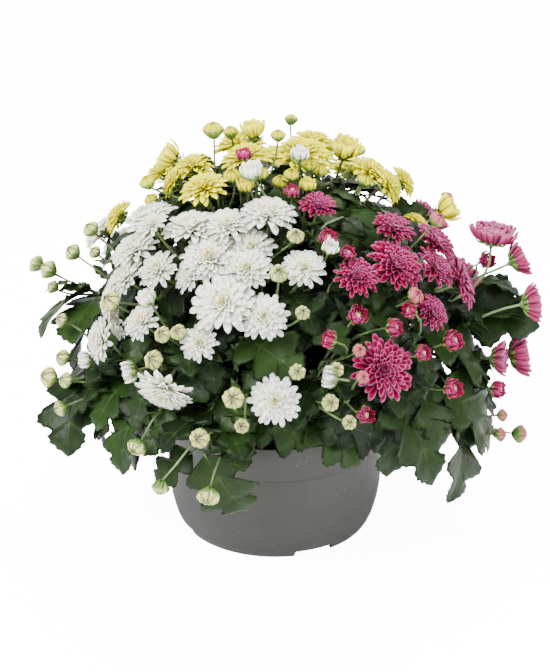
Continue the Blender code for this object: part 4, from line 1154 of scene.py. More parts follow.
# Noise scales to the metre: blotches about 11 mm and pits about 3 mm across
LEAF_BLOTCHES = 90.0
LEAF_PITS = 330.0
LEAF_SHADE = 0.7
LEAF_TONES = (0.2, 1.0)
VEIN_DEPTH = -0.8


def leaf_material():
    """UV u is 0 along a vein and 1 midway between two, and v is 0 on the midrib and 1 at the margin.

    The product of the two grows evenly with the distance from a vein, so a vein keeps its width.
    """
    material, tree, shader = new_material("downy chrysanthemum leaf", roughness=0.42)
    place = put(tree, "ShaderNodeTexCoord").node.outputs
    across = put(tree, "ShaderNodeSeparateXYZ", {0: place["UV"]}).node.outputs
    shade = put(tree, "ShaderNodeAttribute", attribute_name="shade", out="Fac")
    reverse = put(tree, "ShaderNodeAttribute", attribute_name="reverse", out="Fac")
    cloud = put(tree, "ShaderNodeTexNoise", {
        "Vector": place["Object"], "Scale": LEAF_BLOTCHES, "Detail": 3.0})
    mottle = put(tree, "ShaderNodeMath", {0: shade, 1: LEAF_SHADE, 2: cloud}, operation="MULTIPLY_ADD")
    tone = put(tree, "ShaderNodeMapRange", {0: mottle, 1: LEAF_TONES[0], 2: LEAF_TONES[1]}, clamp=True)
    green = put(tree, "ShaderNodeMix", {
        0: tone, 6: linear(LEAF_DARK), 7: linear(LEAF_LIGHT)}, data_type="RGBA", out=2)
    apart = put(tree, "ShaderNodeMath", {0: across[0], 1: across[1]}, operation="MULTIPLY")
    side_vein = put(tree, "ShaderNodeMapRange", {
        0: apart, 1: VEIN_HALF_WIDTH * 0.6, 2: VEIN_HALF_WIDTH * 2, 3: SIDE_VEIN_TONE, 4: 0.0}, clamp=True)
    midrib = put(tree, "ShaderNodeMapRange", {
        0: across[1], 1: VEIN_HALF_WIDTH, 2: VEIN_HALF_WIDTH * 3, 3: 1.0, 4: 0.0}, clamp=True)
    line = put(tree, "ShaderNodeMath", {0: side_vein, 1: midrib}, operation="MAXIMUM")
    veined = put(tree, "ShaderNodeMix", {0: line, 6: green, 7: linear(LEAF_VEIN)}, data_type="RGBA", out=2)
    backed = put(tree, "ShaderNodeMix", {
        0: reverse, 6: veined, 7: linear(LEAF_REVERSE)}, data_type="RGBA", out=2)
    tree.links.new(backed, shader.inputs["Base Color"])
    pits = put(tree, "ShaderNodeTexNoise", {"Vector": place["Object"], "Scale": LEAF_PITS, "Detail": 3.0})
    relief = put(tree, "ShaderNodeMath", {0: line, 1: VEIN_DEPTH, 2: pits}, operation="MULTIPLY_ADD")
    bump = put(tree, "ShaderNodeBump", {"Strength": 0.5, "Distance": 0.8 * MM, "Height": relief})
    tree.links.new(bump, shader.inputs["Normal"])
    shader.inputs["Specular IOR Level"].default_value = 0.11
    shader.inputs["Sheen Weight"].default_value = 0.01
    shader.inputs["Sheen Roughness"].default_value = 0.5
    shader.inputs["Sheen Tint"].default_value = linear("#c8d8d0")
    return material


leaf_finish = leaf_material()
print("Leaf finish:", leaf_finish.name)

# %% [markdown]
# ## Stem and scale finishes
#
# Stems and scales are a lighter, yellower green than leaves, fibrous and finely ridged. One function gives
# both, because only their tones and the width of their streaks differ.

# %% Fibrous greens
STEM_GREEN, STEM_WOODY, SCALE_GREEN, SCALE_PALE = "#5e7042", "#44562e", "#48681e", "#5f7d38"
# Noise scales to the metre: streaks about 6 mm across on stems and 2 mm on scales
STEM_STREAKS = 160.0
SCALE_STREAKS = 500.0
STREAK_TONES = (0.35, 0.65)


def ridged_green(name, young, old, scale):
    """A fibrous green, mottled between two tones, with fine ridges that break up its shine."""
    material, tree, shader = new_material(name, roughness=0.5)
    place = put(tree, "ShaderNodeTexCoord", out="Object")
    cloud = put(tree, "ShaderNodeTexNoise", {"Vector": place, "Scale": scale, "Detail": 3.0})
    tone = put(tree, "ShaderNodeMapRange", {0: cloud, 1: STREAK_TONES[0], 2: STREAK_TONES[1]}, clamp=True)
    green = put(tree, "ShaderNodeMix", {0: tone, 6: linear(young), 7: linear(old)}, data_type="RGBA", out=2)
    tree.links.new(green, shader.inputs["Base Color"])
    bump = put(tree, "ShaderNodeBump", {"Strength": 0.3, "Distance": 0.2 * MM, "Height": cloud})
    tree.links.new(bump, shader.inputs["Normal"])
    shader.inputs["Subsurface Weight"].default_value = 0.08
    shader.inputs["Subsurface Scale"].default_value = 1.0 * MM
    return material


stem_finish = ridged_green("fibrous green stem", STEM_GREEN, STEM_WOODY, STEM_STREAKS)
scale_finish = ridged_green("green cup scale", SCALE_GREEN, SCALE_PALE, SCALE_STREAKS)
print("Greens:", stem_finish.name, "and", scale_finish.name)

# %% [markdown]
# ## Green cups under the heads
#
# Scales overlap in a cup that holds every head. Under an open bloom they spread beneath the petals, and
# round a bud they hug its lower half. The far magenta blooms, which stand like funnels, have a deep cup.

# %% Cups of scales
BUD_SCALE_FORM = dict(
    BUD_FORM, Longest=1.50, Shortest=1.50, Breadth=0.25, Narrowing=1.0, Foot=0.27, Lift=-0.04)
CUP_SCALE_FORM = dict(
    SMALL_CUP_FORM, Highest=math.radians(72), Longest=1.20, Shortest=1.20, Breadth=0.17, Narrowing=1.0,
    Foot=0.52, Lift=-0.06)
BUD_SCALES = 13
OPEN_SCALE_FORM = {
    "Lowest": math.radians(22), "Highest": math.radians(52), "Quickening": 1.0, "Longest": 1.35,
    "Shortest": 1.10, "Breadth": 0.24, "Narrowing": 0.85, "Foot": 0.55, "Lift": 0.35, "Ragged": 0.6,
}
OPEN_SCALES = 18
FUNNEL_SCALE_FORM = dict(
    OPEN_SCALE_FORM, Lowest=math.radians(30), Highest=math.radians(46), Longest=1.0, Shortest=1.15,
    Breadth=0.22, Foot=0.50, Lift=0.10, Ragged=0.4)
FUNNEL_SCALES = 24
FUNNEL_CUP = 0.52
FUNNEL_SINK = 2.0 * MM
OPEN_CUP_RADIUS = 5.6 * MM
OPEN_SINK = 3.6 * MM

for plant in PLANTS:
    meshes = []
    for number, head in enumerate(heads + side_heads):
        if head.plant != plant:
            continue
        if head.kind == "bud":
            form, kind, count, sink = BUD_SCALE_FORM, "bud scale", BUD_SCALES, 0.0
            radius = head.radius * BUD_SWELL
        elif head.fused:
            form, kind, count, sink = CUP_SCALE_FORM, "cup scale", BUD_SCALES, 0.0
            radius = head.radius
        elif is_funnel(head):
            form, kind, count, sink = FUNNEL_SCALE_FORM, "scale", FUNNEL_SCALES, FUNNEL_SINK
            radius = head.radius * FUNNEL_CUP
        else:
            form, kind, count, sink = OPEN_SCALE_FORM, "scale", OPEN_SCALES, OPEN_SINK
            radius = OPEN_CUP_RADIUS
        matrix = stand_on(head.seat - head.facing * sink, head.facing)
        meshes.append(spiral_at(form, kind, count, radius, number, scale_finish, matrix))
    whole = joined(plant + "_scales", meshes, [scale_finish])
    dress(whole.name, whole, "leaf_green", plant + "_plant")
    print(whole.name, len(whole.polygons) * 2, "triangles")

# %% [markdown]
# ## Stems
#
# Shoots, stalks and leaf stalks are curves that carry their own thickness at each point. One tree runs a
# small ring along each of them. A stalk widens at its end into the base of its green cup.

# %% Stems from curves
STEM_SIDES = 8
SHOOT_THICK = (2.6 * MM, 1.7 * MM)
BLOOM_STALK_THICK = (1.55 * MM, 1.1 * MM)
BUD_STALK_THICK = (1.15 * MM, 0.8 * MM)
CROWN_THICK = 4.4 * MM
CROWN_TAPER = 0.75
CROWN_DEPTH = 20.0 * MM
SHOOT_POINTS = 16
STALK_POINTS = 11
FREE_POINTS = 8
# Where a stalk widens into its head, and how thick it is there: as shares of a fused head's radius, and in
# millimetres below the seat of an open bloom
FUSED_FLARE = ((0.10, 0.42), (0.35, 0.66))
BLOOM_FLARE = ((3.4, 2.2), (2.0, 3.9), (0.2, 4.3))

tubes, given, result = new_tree("rings along curves", {"Sides": "Int", "Finish": "Material"})
ring = put(tubes, "GeometryNodeCurvePrimitiveCircle", {"Resolution": given["Sides"], "Radius": 1.0})
radius = put(tubes, "GeometryNodeInputRadius")
tube = put(tubes, "GeometryNodeCurveToMesh", {
    "Curve": given["Geometry"], "Profile Curve": ring, "Scale": radius, "Fill Caps": True})
smooth = put(tubes, "GeometryNodeSetShadeSmooth", {"Geometry": tube, "Shade Smooth": True})
end_tree(tubes, smooth, given["Finish"], result)


def add_run(curve, points, radii):
    """Adds a run of straight lines through the points, with a thickness at each."""
    run = curve.splines.new("POLY")
    run.points.add(len(points) - 1)
    for point, place, radius in zip(run.points, points, radii):
        point.co = (*place, 1.0)
        point.radius = radius


def tapered(count, thick):
    """Thicknesses that go evenly from the first to the second, one for each point."""
    return [thick[0] + (thick[1] - thick[0]) * index / (count - 1) for index in range(count)]


def stalk_run(head, way, thick):
    """Points and radii of a stalk, which flares into the base of its head."""
    points = [bezier(way, index / (STALK_POINTS - 1)) for index in range(STALK_POINTS)]
    radii = tapered(STALK_POINTS, thick)
    if head.fused:
        points += [head.seat + head.facing * high * head.radius for high, wide in FUSED_FLARE]
        radii += [wide * head.radius for high, wide in FUSED_FLARE]
    else:
        points += [head.seat - head.facing * deep * MM for deep, wide in BLOOM_FLARE]
        radii += [wide * MM for deep, wide in BLOOM_FLARE]
    return points, radii


stem_spots = {plant: [] for plant in PLANTS}
stem_curves = {plant: bpy.data.curves.new(plant + " stems", "CURVE") for plant in PLANTS}
for plant, curve in stem_curves.items():
    curve.dimensions = "3D"
    root = root_point(plant)
    low, high = root - Vector((0.0, 0.0, CROWN_DEPTH)), root + Vector((0.0, 0.0, CROWN_RISE * MM))
    add_run(curve, [low, root, high], [CROWN_THICK, CROWN_THICK, CROWN_THICK * CROWN_TAPER])
    for shoot in shoots[plant]:
        points = [bezier(shoot, index / (SHOOT_POINTS - 1)) for index in range(SHOOT_POINTS)]
        add_run(curve, points, tapered(SHOOT_POINTS, SHOOT_THICK))
        stem_spots[plant] += points
for head, way in stalks:
    points, radii = stalk_run(head, way, BUD_STALK_THICK if head.fused else BLOOM_STALK_THICK)
    add_run(stem_curves[head.plant], points, radii)
    stem_spots[head.plant] += points[:FREE_POINTS]
print({plant: len(curve.splines) for plant, curve in stem_curves.items()}, "stems so far")

# %% [markdown]
# ## Stalks of the side buds
#
# A side bud springs from the nearest stem below it, and its thin stalk bows up to it.

# %% Stalks of the side buds
SIDE_STALK_START = 30
SIDE_STALK_PULLS = (0.35, 0.4)


def nearest_spot(plant, place):
    """The point of a plant's stems from which a leaf or a side bud may spring, below its own place."""
    below = [spot for spot in stem_spots[plant] if (spot - HEART).length < (place - HEART).length]
    return min(below, key=lambda spot: (spot - place).length)


for head in side_heads:
    start = nearest_spot(head.plant, head.seat - head.facing * SIDE_STALK_START * MM)
    length = (head.seat - start).length
    near = start.lerp(head.seat, SIDE_STALK_PULLS[0])
    way = (start, near, head.seat - head.facing * SIDE_STALK_PULLS[1] * length, head.seat)
    points, radii = stalk_run(head, way, BUD_STALK_THICK)
    add_run(stem_curves[head.plant], points, radii)
print({plant: len(curve.splines) for plant, curve in stem_curves.items()}, "stems")

# %% [markdown]
# ## Leaves
#
# The blade has rounded lobes with blunt teeth, and each side vein runs forward from the midrib into a
# lobe. The outline is half a leaf, mirrored, and a short list names the points where its veins end.

# %% The outline of a leaf
LOBED = ((0.0, 0.02), (0.03, 0.07), (0.06, 0.16), (0.075, 0.25), (0.11, 0.285), (0.125, 0.345),
         (0.165, 0.365), (0.19, 0.405), (0.235, 0.385), (0.265, 0.395), (0.29, 0.34), (0.325, 0.30),
         (0.35, 0.235), (0.385, 0.19), (0.415, 0.22), (0.44, 0.285), (0.47, 0.31), (0.49, 0.365),
         (0.53, 0.38), (0.56, 0.43), (0.605, 0.415), (0.64, 0.425), (0.66, 0.365), (0.695, 0.325),
         (0.705, 0.26), (0.735, 0.205), (0.765, 0.22), (0.79, 0.265), (0.83, 0.235), (0.86, 0.24),
         (0.88, 0.18), (0.915, 0.165), (0.93, 0.105), (0.965, 0.065), (1.0, 0.0))
LOBED_VEINS = (7, 19, 27, 34)
SLIP = ((0.0, 0.03), (0.16, 0.13), (0.32, 0.24), (0.40, 0.15), (0.58, 0.21), (0.76, 0.12), (1.0, 0.0))
SLIP_VEINS = (2, 4, 6)


def vein_distances(count, peaks):
    """For each outline point, 0 where a vein ends and 1 midway between two veins."""
    distances = []
    for index in range(count):
        before = max((peak for peak in peaks if peak <= index), default=-peaks[0])
        after = min(peak for peak in peaks if peak >= index)
        half = max((after - before) / 2, 1)
        distances.append(min(index - before, after - index) / half)
    return distances


print("Half an outline has", len(LOBED), "points, and", len(LOBED_VEINS), "of them end a vein")

# %% [markdown]
# ## Blades with veins
#
# Every outline point is joined to a point of the midrib that lies further back, so the strips between
# them run the way that the veins do. A few seeded draws make each blade of a kind a little different.

# %% Leaf blades
VEIN_SLANT = 0.65
ROWS = (0.0, 0.3, 0.62, 0.86, 1.0)
INNER_ROWS = (0.0, 0.5, 1.0)
LEAF_THICK = 0.011
SLIP_THICK = 0.03
EDGE_THIN = 0.5
TWIST = 0.10
DROOP = 0.10
LONG_WAVE = (9.0, 0.5)
SHORT_WAVE = 17.0
WAVE_HEIGHT = 0.022
QUILTING = 0.05


def leaf_blade(name, outline, peaks, rows, seed, thick):
    """A closed leaf a unit long along +X, arched like the solids' leaves.

    Its margin waves, it is twisted and droops by seeded draws, and it is quilted between its veins.
    """
    draw = random.Random(seed)
    phases = [draw.uniform(0.0, 2 * math.pi) for step in range(3)]
    twist, droop = draw.uniform(-TWIST, TWIST), draw.uniform(0.0, DROOP)
    veins = vein_distances(len(outline), peaks)
    ribs = []
    for along, half in outline:
        ribs.append(max(along - VEIN_SLANT * half, ribs[-1] if ribs else 0.0))
    ribs[-1] = 1.0
    shape = bmesh.new()
    uv_layer = shape.loops.layers.uv.new("UVMap")
    reverse = shape.faces.layers.float.new("reverse")
    known = {}

    def corner(index, row, side, sheet):
        share = rows[row]
        along = ribs[index] + (outline[index][0] - ribs[index]) * share
        out = outline[index][1] * share * side
        is_edge = row == len(rows) - 1 or index in (0, len(outline) - 1)
        key = (round(along, 4), round(out, 4), 0 if is_edge else sheet)
        if key not in known:
            rise = LEAF_ARCH * along * (1.0 - along) + LEAF_FOLD * abs(out)
            fine = math.sin(SHORT_WAVE * along + phases[1 if side > 0 else 2])
            wave = math.sin(LONG_WAVE[0] * along + phases[0]) * LONG_WAVE[1] + fine
            rise += (
                WAVE_HEIGHT * wave * share * share + twist * along * out - droop * along * along * abs(out))
            rise += QUILTING * veins[index] * share * (1.0 - share)
            if not is_edge:
                rise += sheet * thick / 2 * (1.0 - EDGE_THIN * share)
            known[key] = shape.verts.new((along, out, rise))
        return known[key]

    for side in (-1, 1):
        for index in range(len(outline) - 1):
            for row in range(len(rows) - 1):
                for sheet in (1, -1):
                    spots = ((index, row), (index + 1, row), (index + 1, row + 1), (index, row + 1))
                    found = [(corner(*spot, side, sheet), (veins[spot[0]], rows[spot[1]])) for spot in spots]
                    kept = [item for place, item in enumerate(found) if item[0] != found[place - 1][0]]
                    if len(kept) < 3:
                        continue
                    face = shape.faces.new([vert for vert, uv in kept])
                    face.smooth = True
                    face[reverse] = float(sheet < 0)
                    for loop, (vert, uv) in zip(face.loops, kept):
                        loop[uv_layer].uv = uv
    bmesh.ops.recalc_face_normals(shape, faces=shape.faces)
    return mesh_from(name, shape)


def blade_kinds(label, count, outline, peaks, rows, seed, thick):
    """A collection of several blades of one outline, which differ by their draws."""
    kinds = bpy.data.collections.new(label + " blades")
    for number in range(count):
        mesh = leaf_blade(f"{label} {number}", outline, peaks, rows, seed + number, thick)
        kinds.objects.link(bpy.data.objects.new(mesh.name, mesh))
    return kinds


leaf_kinds = blade_kinds("leaf", 4, LOBED, LOBED_VEINS, ROWS, 40, LEAF_THICK)
inner_kinds = blade_kinds("inner leaf", 4, LOBED, LOBED_VEINS, INNER_ROWS, 40, LEAF_THICK)
slip_kinds = blade_kinds("small leaf", 2, SLIP, SLIP_VEINS, INNER_ROWS, 60, SLIP_THICK)
print({blade.name: len(blade.data.polygons) * 2 for blade in leaf_kinds.objects}, "triangles a leaf")

# %% [markdown]
# ## Placing the leaves
#
# Each leaf is one point that carries its own directions, size and kind. One tree sets a blade on each
# point, and gives it a random shade.

# %% A tree that sets blades on points
LEAF_SHADES = (-0.5, 0.5)

placed, given, result = new_tree("blades on points", {"Blades": "Collection", "Finish": "Material"})
blades_in = put(placed, "GeometryNodeCollectionInfo", {
    "Collection": given["Blades"], "Separate Children": True, "Reset Children": True})
named = {}
for label, kind in (
        ("along", "FLOAT_VECTOR"), ("up", "FLOAT_VECTOR"), ("size", "FLOAT_VECTOR"), ("kind", "INT")):
    named[label] = put(placed, "GeometryNodeInputNamedAttribute", {"Name": label}, data_type=kind)
facing = put(placed, "FunctionNodeAxesToRotation", {
    0: named["along"], 1: named["up"]}, primary_axis="X", secondary_axis="Z")
on_points = put(placed, "GeometryNodeInstanceOnPoints", {
    "Points": given["Geometry"], "Instance": blades_in, "Pick Instance": True,
    "Instance Index": named["kind"], "Rotation": facing, "Scale": named["size"]})
chance = put(placed, "FunctionNodeRandomValue", {
    2: LEAF_SHADES[0], 3: LEAF_SHADES[1], "Seed": SEED}, data_type="FLOAT", out=1)
shaded = put(placed, "GeometryNodeStoreNamedAttribute", {
    "Geometry": on_points, "Name": "shade", "Value": chance}, data_type="FLOAT", domain="INSTANCE")
end_tree(placed, shaded, given["Finish"], result)


def leaf_points(own, kinds):
    """A mesh of one point for each leaf, with what the tree reads."""
    points = bpy.data.meshes.new("leaf points")
    points.from_pydata([leaf.base for leaf in own], [], [])
    for label, vectors in (
            ("along", [leaf.along for leaf in own]),
            ("up", [leaf.up for leaf in own]),
            ("size", [(leaf.length, leaf.length * leaf.width, leaf.length) for leaf in own])):
        layer = points.attributes.new(label, "FLOAT_VECTOR", "POINT")
        layer.data.foreach_set("vector", np.array([tuple(vector) for vector in vectors]).ravel())
    layer = points.attributes.new("kind", "INT", "POINT")
    layer.data.foreach_set("value", [index % kinds for index in range(len(own))])
    return points


print("The tree for leaves has", len(placed.nodes), "nodes")

# %% [markdown]
# ## Room for a leaf
#
# A leaf that scene.py adds has to keep off the pot's bare front and the soil, to let every stalk pass, and
# to leave the blooms open to view. A few points of its blade are enough to test.

# %% Tests of a leaf's place
LOWEST_LEAF = 118.0 * MM
LOWEST_TIP = 90.0 * MM
OUTSIDE_POT = 112.0 * MM
BARE_HEIGHT = 127.0 * MM
POT_STEPS = (0.0, 0.5, 1.0)
POT_SIDES = (-0.35, 0.0, 0.35)
BLOOM_STEPS = (0.1, 0.3, 0.5, 0.7, 0.9)
BLOOM_SIDES = (-0.3, 0.0, 0.3)
PIERCED_LENGTH = (0.04, 0.98)
PIERCED_WIDTH = 0.34
BLOOM_ROOM = (-0.1, 2.0)
STALK_PARTS = 10


def is_clear_of_pot(leaf):
    """Whether a leaf stays above the rim or hangs outside it, off the soil and off the pot's bare front."""
    for along in POT_STEPS:
        for out in POT_SIDES:
            spot = leaf_point(leaf, along, out)
            away = math.hypot(spot.x, spot.y)
            bearing = math.degrees(math.atan2(spot.x, -spot.y))
            if spot.z < LOWEST_LEAF and (away < OUTSIDE_POT or spot.z < LOWEST_TIP):
                return False
            if spot.z < BARE_HEIGHT and abs(bearing) < BARE_BEARING:
                return False
    return True


def in_leaf(leaf, spots):
    """Points in a leaf's own measure: along it, across it, and how high they are over its arched face."""
    offsets = (spots - np.array(leaf.base)) / leaf.length
    along, out, high = (offsets @ np.array(axis) for axis in (leaf.along, leaf.side, leaf.up))
    out = out / leaf.width
    return along, out, high - LEAF_ARCH * along * (1.0 - along) - LEAF_FOLD * np.abs(out)


def is_pierced(leaf):
    """Whether a stalk would pass through the blade."""
    start = np.array(in_leaf(leaf, stalk_starts))
    end = np.array(in_leaf(leaf, stalk_ends))
    crosses = start[2] * end[2] < 0.0
    share = start[2] / np.where(crosses, start[2] - end[2], 1.0)
    along, out, high = start + (end - start) * share
    on_blade = (along > PIERCED_LENGTH[0]) & (along < PIERCED_LENGTH[1]) & (np.abs(out) < PIERCED_WIDTH)
    return bool(np.any(crosses & on_blade))


def meets_bloom(leaf):
    """Whether a leaf would pass through the petals of a head or hang just over them."""
    spots = np.array([leaf_point(leaf, along, out) for along in BLOOM_STEPS for out in BLOOM_SIDES])
    offsets = spots[:, None] - head_seats
    high = (offsets * head_facings).sum(axis=2)
    aside = np.linalg.norm(offsets - high[:, :, None] * head_facings, axis=2)
    over = (high > BLOOM_ROOM[0] * head_radii) & (high < BLOOM_ROOM[1] * head_radii)
    return bool(np.any(over & (aside < head_radii)))


def has_room(leaf):
    return is_clear_of_pot(leaf) and not is_pierced(leaf) and not meets_bloom(leaf)


runs = [[tuple(bezier(way, index / STALK_PARTS)) for index in range(STALK_PARTS + 1)] for head, way in stalks]
stalk_starts = np.array([spot for run in runs for spot in run[:-1]])
stalk_ends = np.array([spot for run in runs for spot in run[1:]])
head_seats = np.array([head.seat for head in heads + side_heads])
head_facings = np.array([head.facing for head in heads + side_heads])
head_radii = np.array([head.radius for head in heads + side_heads])
print("Leaves of the solids with room:", sum(has_room(leaf) for leaf in leaves), "of", len(leaves))

# %% [markdown]
# ## Leaves that make the bush dense
#
# Besides the leaves of the solids, smaller inner leaves fill the dome, and small ones stand up between the
# blooms. A seeded draw offers each of them several places, and the first that has room is kept.

# %% Leaves inside the dome
INNER_LEAVES = 550
INNER_LEANS = (0.0, 103.0)
INNER_REACHES = (0.36, 0.86)
INNER_LENGTHS = (42.0 * MM, 64.0 * MM)
INNER_WIDTH = 1.0
TOP_LEAVES = 240
TOP_LEANS = (5.0, 54.0)
TOP_REACHES = (0.66, 0.90)
TOP_LENGTHS = (28.0 * MM, 42.0 * MM)


def inner_leaves(seed, count, leans, lengths, reaches):
    """Leaves on a golden spiral, each pushed out from the heart as far as its draw says."""
    draw = random.Random(seed)
    found = []
    furthest = reaches[1] / reaches[0] - 1.0
    for tries in fill_tries(draw, count, leans, lengths, reaches[:1]):
        for leaf in tries:
            middle = leaf.base + leaf.along * leaf.length / 2
            base = leaf.base + (middle - HEART) * draw.uniform(0.0, furthest)
            plant = min(PLANTS, key=lambda name: min((spot - base).length for spot in stem_spots[name]))
            leaf = leaf._replace(plant=plant, base=base, width=INNER_WIDTH)
            if has_room(leaf):
                found.append(leaf)
                break
    return found


inner = inner_leaves(SEED + 1, INNER_LEAVES, INNER_LEANS, INNER_LENGTHS, INNER_REACHES)
top_leaves = inner_leaves(SEED + 4, TOP_LEAVES, TOP_LEANS, TOP_LENGTHS, TOP_REACHES)
print(len(leaves), "leaves as in the solids,", len(inner), "inner ones and", len(top_leaves), "small ones")

# %% [markdown]
# ## Leaves on the flower stalks
#
# A flower stalk bears a few leaves that hang outwards under its bloom, and smaller ones that stand up.
# Both kinds spring from the stalk's own curve, and they hide where the stalks leave the dome.

# %% Leaves on the stalks
STALK_LEAVES = {"white": 1, "magenta": 2, "yellow": 3}
STALK_LEAF_TRIES = 12
STALK_LEAF_SHARES = (0.36, 0.80)
STALK_LEAF_YAW = 60.0
STALK_LEAF_LEANS = (95.0, 145.0)
STALK_LEAF_LENGTHS = (34.0 * MM, 52.0 * MM)
SLIPS = 3
SLIP_LENGTHS = (15.0 * MM, 30.0 * MM)
SLIP_SHARES = (0.42, 0.86)
SLIP_STEP = 0.05
SLIP_STEEPNESS = 0.75
SLIP_WIDTH = 0.9


def stalk_leaves():
    """Leaves that spring from the flower stalks and hang outwards, under the blooms."""
    draw = random.Random(SEED + 3)
    found = []
    for head, way in stalks:
        wanted = len(found) + STALK_LEAVES[head.plant]
        for attempt in range(STALK_LEAF_TRIES):
            base = bezier(way, draw.uniform(*STALK_LEAF_SHARES))
            outward = math.degrees(math.atan2(base.x, -base.y))
            bearing = outward + draw.uniform(-STALK_LEAF_YAW, STALK_LEAF_YAW)
            lean = draw.uniform(*STALK_LEAF_LEANS)
            along, up = ray(bearing, lean), ray(bearing, lean - 90.0)
            length = draw.uniform(*STALK_LEAF_LENGTHS)
            leaf = Leaf(head.plant, base, along, up.cross(along), up, length, INNER_WIDTH)
            if len(found) == wanted:
                break
            if has_room(leaf):
                found.append(leaf)
    return found


def slip_leaves():
    """Small leaves that spring from the stalks, up and outward."""
    draw = random.Random(SEED + 2)
    found = []
    for head, way in [stalk for stalk in stalks for number in range(SLIPS)]:
        share = draw.uniform(*SLIP_SHARES)
        base = bezier(way, share)
        upward = (bezier(way, share + SLIP_STEP) - base).normalized()
        side, other = across_axes(upward)
        angle = draw.uniform(0.0, 2 * math.pi)
        aside = side * math.cos(angle) + other * math.sin(angle)
        along = (upward * SLIP_STEEPNESS + aside).normalized()
        up = (upward - along * upward.dot(along)).normalized()
        length = draw.uniform(*SLIP_LENGTHS)
        found.append(Leaf(head.plant, base, along, up.cross(along), up, length, SLIP_WIDTH))
    return found


on_stalks = stalk_leaves()
slips = slip_leaves()
print("Leaves on the stalks:", len(on_stalks), "that hang and", len(slips), "that stand up")

# %% [markdown]
# ## Leaf stalks, and the finished green pieces
#
# A leaf stalk springs from the nearest stem, arches a little and runs on into the midrib. Then each
# plant's leaves become one piece, and all its stems another.

# %% Leaf stalks, foliage and stems
LEAF_STALK_REACH = 62.0 * MM
LEAF_STALK_THICK = (1.2 * MM, 0.95 * MM)
LEAF_STALK_TIP = 0.2 * MM
LEAF_STALK_BOW = 0.12
LEAF_STALK_BENDS = (0.55, 0.6)
RIB_SHARES = (0.10, 0.08)

inner += on_stalks
slips += top_leaves
for leaf in leaves + inner + top_leaves:
    start = nearest_spot(leaf.plant, leaf.base)
    if (start - leaf.base).length < LEAF_STALK_REACH:
        bow = (leaf.base - start).length * LEAF_STALK_BOW * Vector((0.0, 0.0, 1.0))
        level = start.lerp(leaf.base, 0.5) + bow
        early, late = start.lerp(level, LEAF_STALK_BENDS[0]), level.lerp(leaf.base, LEAF_STALK_BENDS[1])
        rib = leaf.base + leaf.along * RIB_SHARES[0] * leaf.length
        rib += leaf.up * LEAF_ARCH * RIB_SHARES[1] * leaf.length
        radii = tapered(5, LEAF_STALK_THICK) + [LEAF_STALK_TIP]
        add_run(stem_curves[leaf.plant], [start, early, level, late, leaf.base, rib], radii)
for plant in PLANTS:
    foliage = joined(plant + "_foliage", [
        grow(placed, leaf_points([leaf for leaf in some if leaf.plant == plant], len(kinds.objects)), {
            "Blades": kinds, "Finish": leaf_finish})
        for some, kinds in ((leaves, leaf_kinds), (inner, inner_kinds), (slips, slip_kinds))], [leaf_finish])
    dress(foliage.name, foliage, "leaf_green", plant + "_plant")
    stems = grow(tubes, stem_curves[plant], {"Sides": STEM_SIDES, "Finish": stem_finish})
    dress(plant + "_stems", stems, "leaf_green", plant + "_plant")
    print(plant, "leaves:", len(foliage.polygons) * 2, "triangles, and stems:", len(stems.polygons) * 2)

# %% [markdown]
# ## A fine lathe
#
# The pot and its soil are both turned from a profile. The lathe sets a ring of points for each point of
# the profile and joins the rings by faces. A Boolean then cuts the notches and the drains.

# %% A lathe, and cutters for it
SHARP_EDGE = math.radians(32)


def lathe(name, profile, steps):
    """A closed turned mesh from (radius, height) points in millimetres, both ends on the axis.

    The profile keeps the solid on its right hand, so that the faces point outwards.
    """
    ways = [ray(360.0 * step / steps, 90.0) for step in range(steps)]
    points = [Vector((0.0, 0.0, profile[0][1])), Vector((0.0, 0.0, profile[-1][1]))]
    points += [Vector((way.x * out, way.y * out, up)) for out, up in profile[1:-1] for way in ways]
    last = len(points) - 2 - steps
    faces = []
    for step in range(steps):
        here, after = 2 + step, 2 + (step + 1) % steps
        faces += [(0, here, after), (1, after + last, here + last)]
        for ring in range(0, last, steps):
            faces.append((here + ring, here + ring + steps, after + ring + steps, after + ring))
    mesh = bpy.data.meshes.new(name)
    mesh.from_pydata([point * MM for point in points], [], faces)
    for face in mesh.polygons:
        face.use_smooth = True
    return mesh


def without(mesh, cutters):
    """The mesh less the cutters' meshes, with its sharp edges marked."""
    body = show("body", mesh)
    tools = bpy.data.collections.new("cutters")
    bpy.context.scene.collection.children.link(tools)
    for cutter in cutters:
        tools.objects.link(bpy.data.objects.new("cutter", cutter))
    cut = body.modifiers.new("Cut", "BOOLEAN")
    cut.operand_type = "COLLECTION"
    cut.collection = tools
    cut.solver = "EXACT"
    graph = bpy.context.evaluated_depsgraph_get()
    left = bpy.data.meshes.new_from_object(body.evaluated_get(graph), depsgraph=graph)
    for tool in list(tools.objects) + [body]:
        bpy.data.objects.remove(tool, do_unlink=True)
    bpy.data.collections.remove(tools)
    left.set_sharp_from_angle(angle=SHARP_EDGE)
    return left


def block(size, matrix):
    shape = bmesh.new()
    bmesh.ops.create_cube(shape, size=1.0, matrix=matrix @ Matrix.Diagonal((*size, 1.0)))
    return mesh_from("block", shape)


def rod(radius, depth, place):
    shape = bmesh.new()
    bmesh.ops.create_cone(shape, cap_ends=True, segments=32, radius1=radius, radius2=radius, depth=depth,
                          matrix=Matrix.Translation(place))
    return mesh_from("rod", shape)


print("Edges sharper than", round(math.degrees(SHARP_EDGE)), "degrees stay sharp")
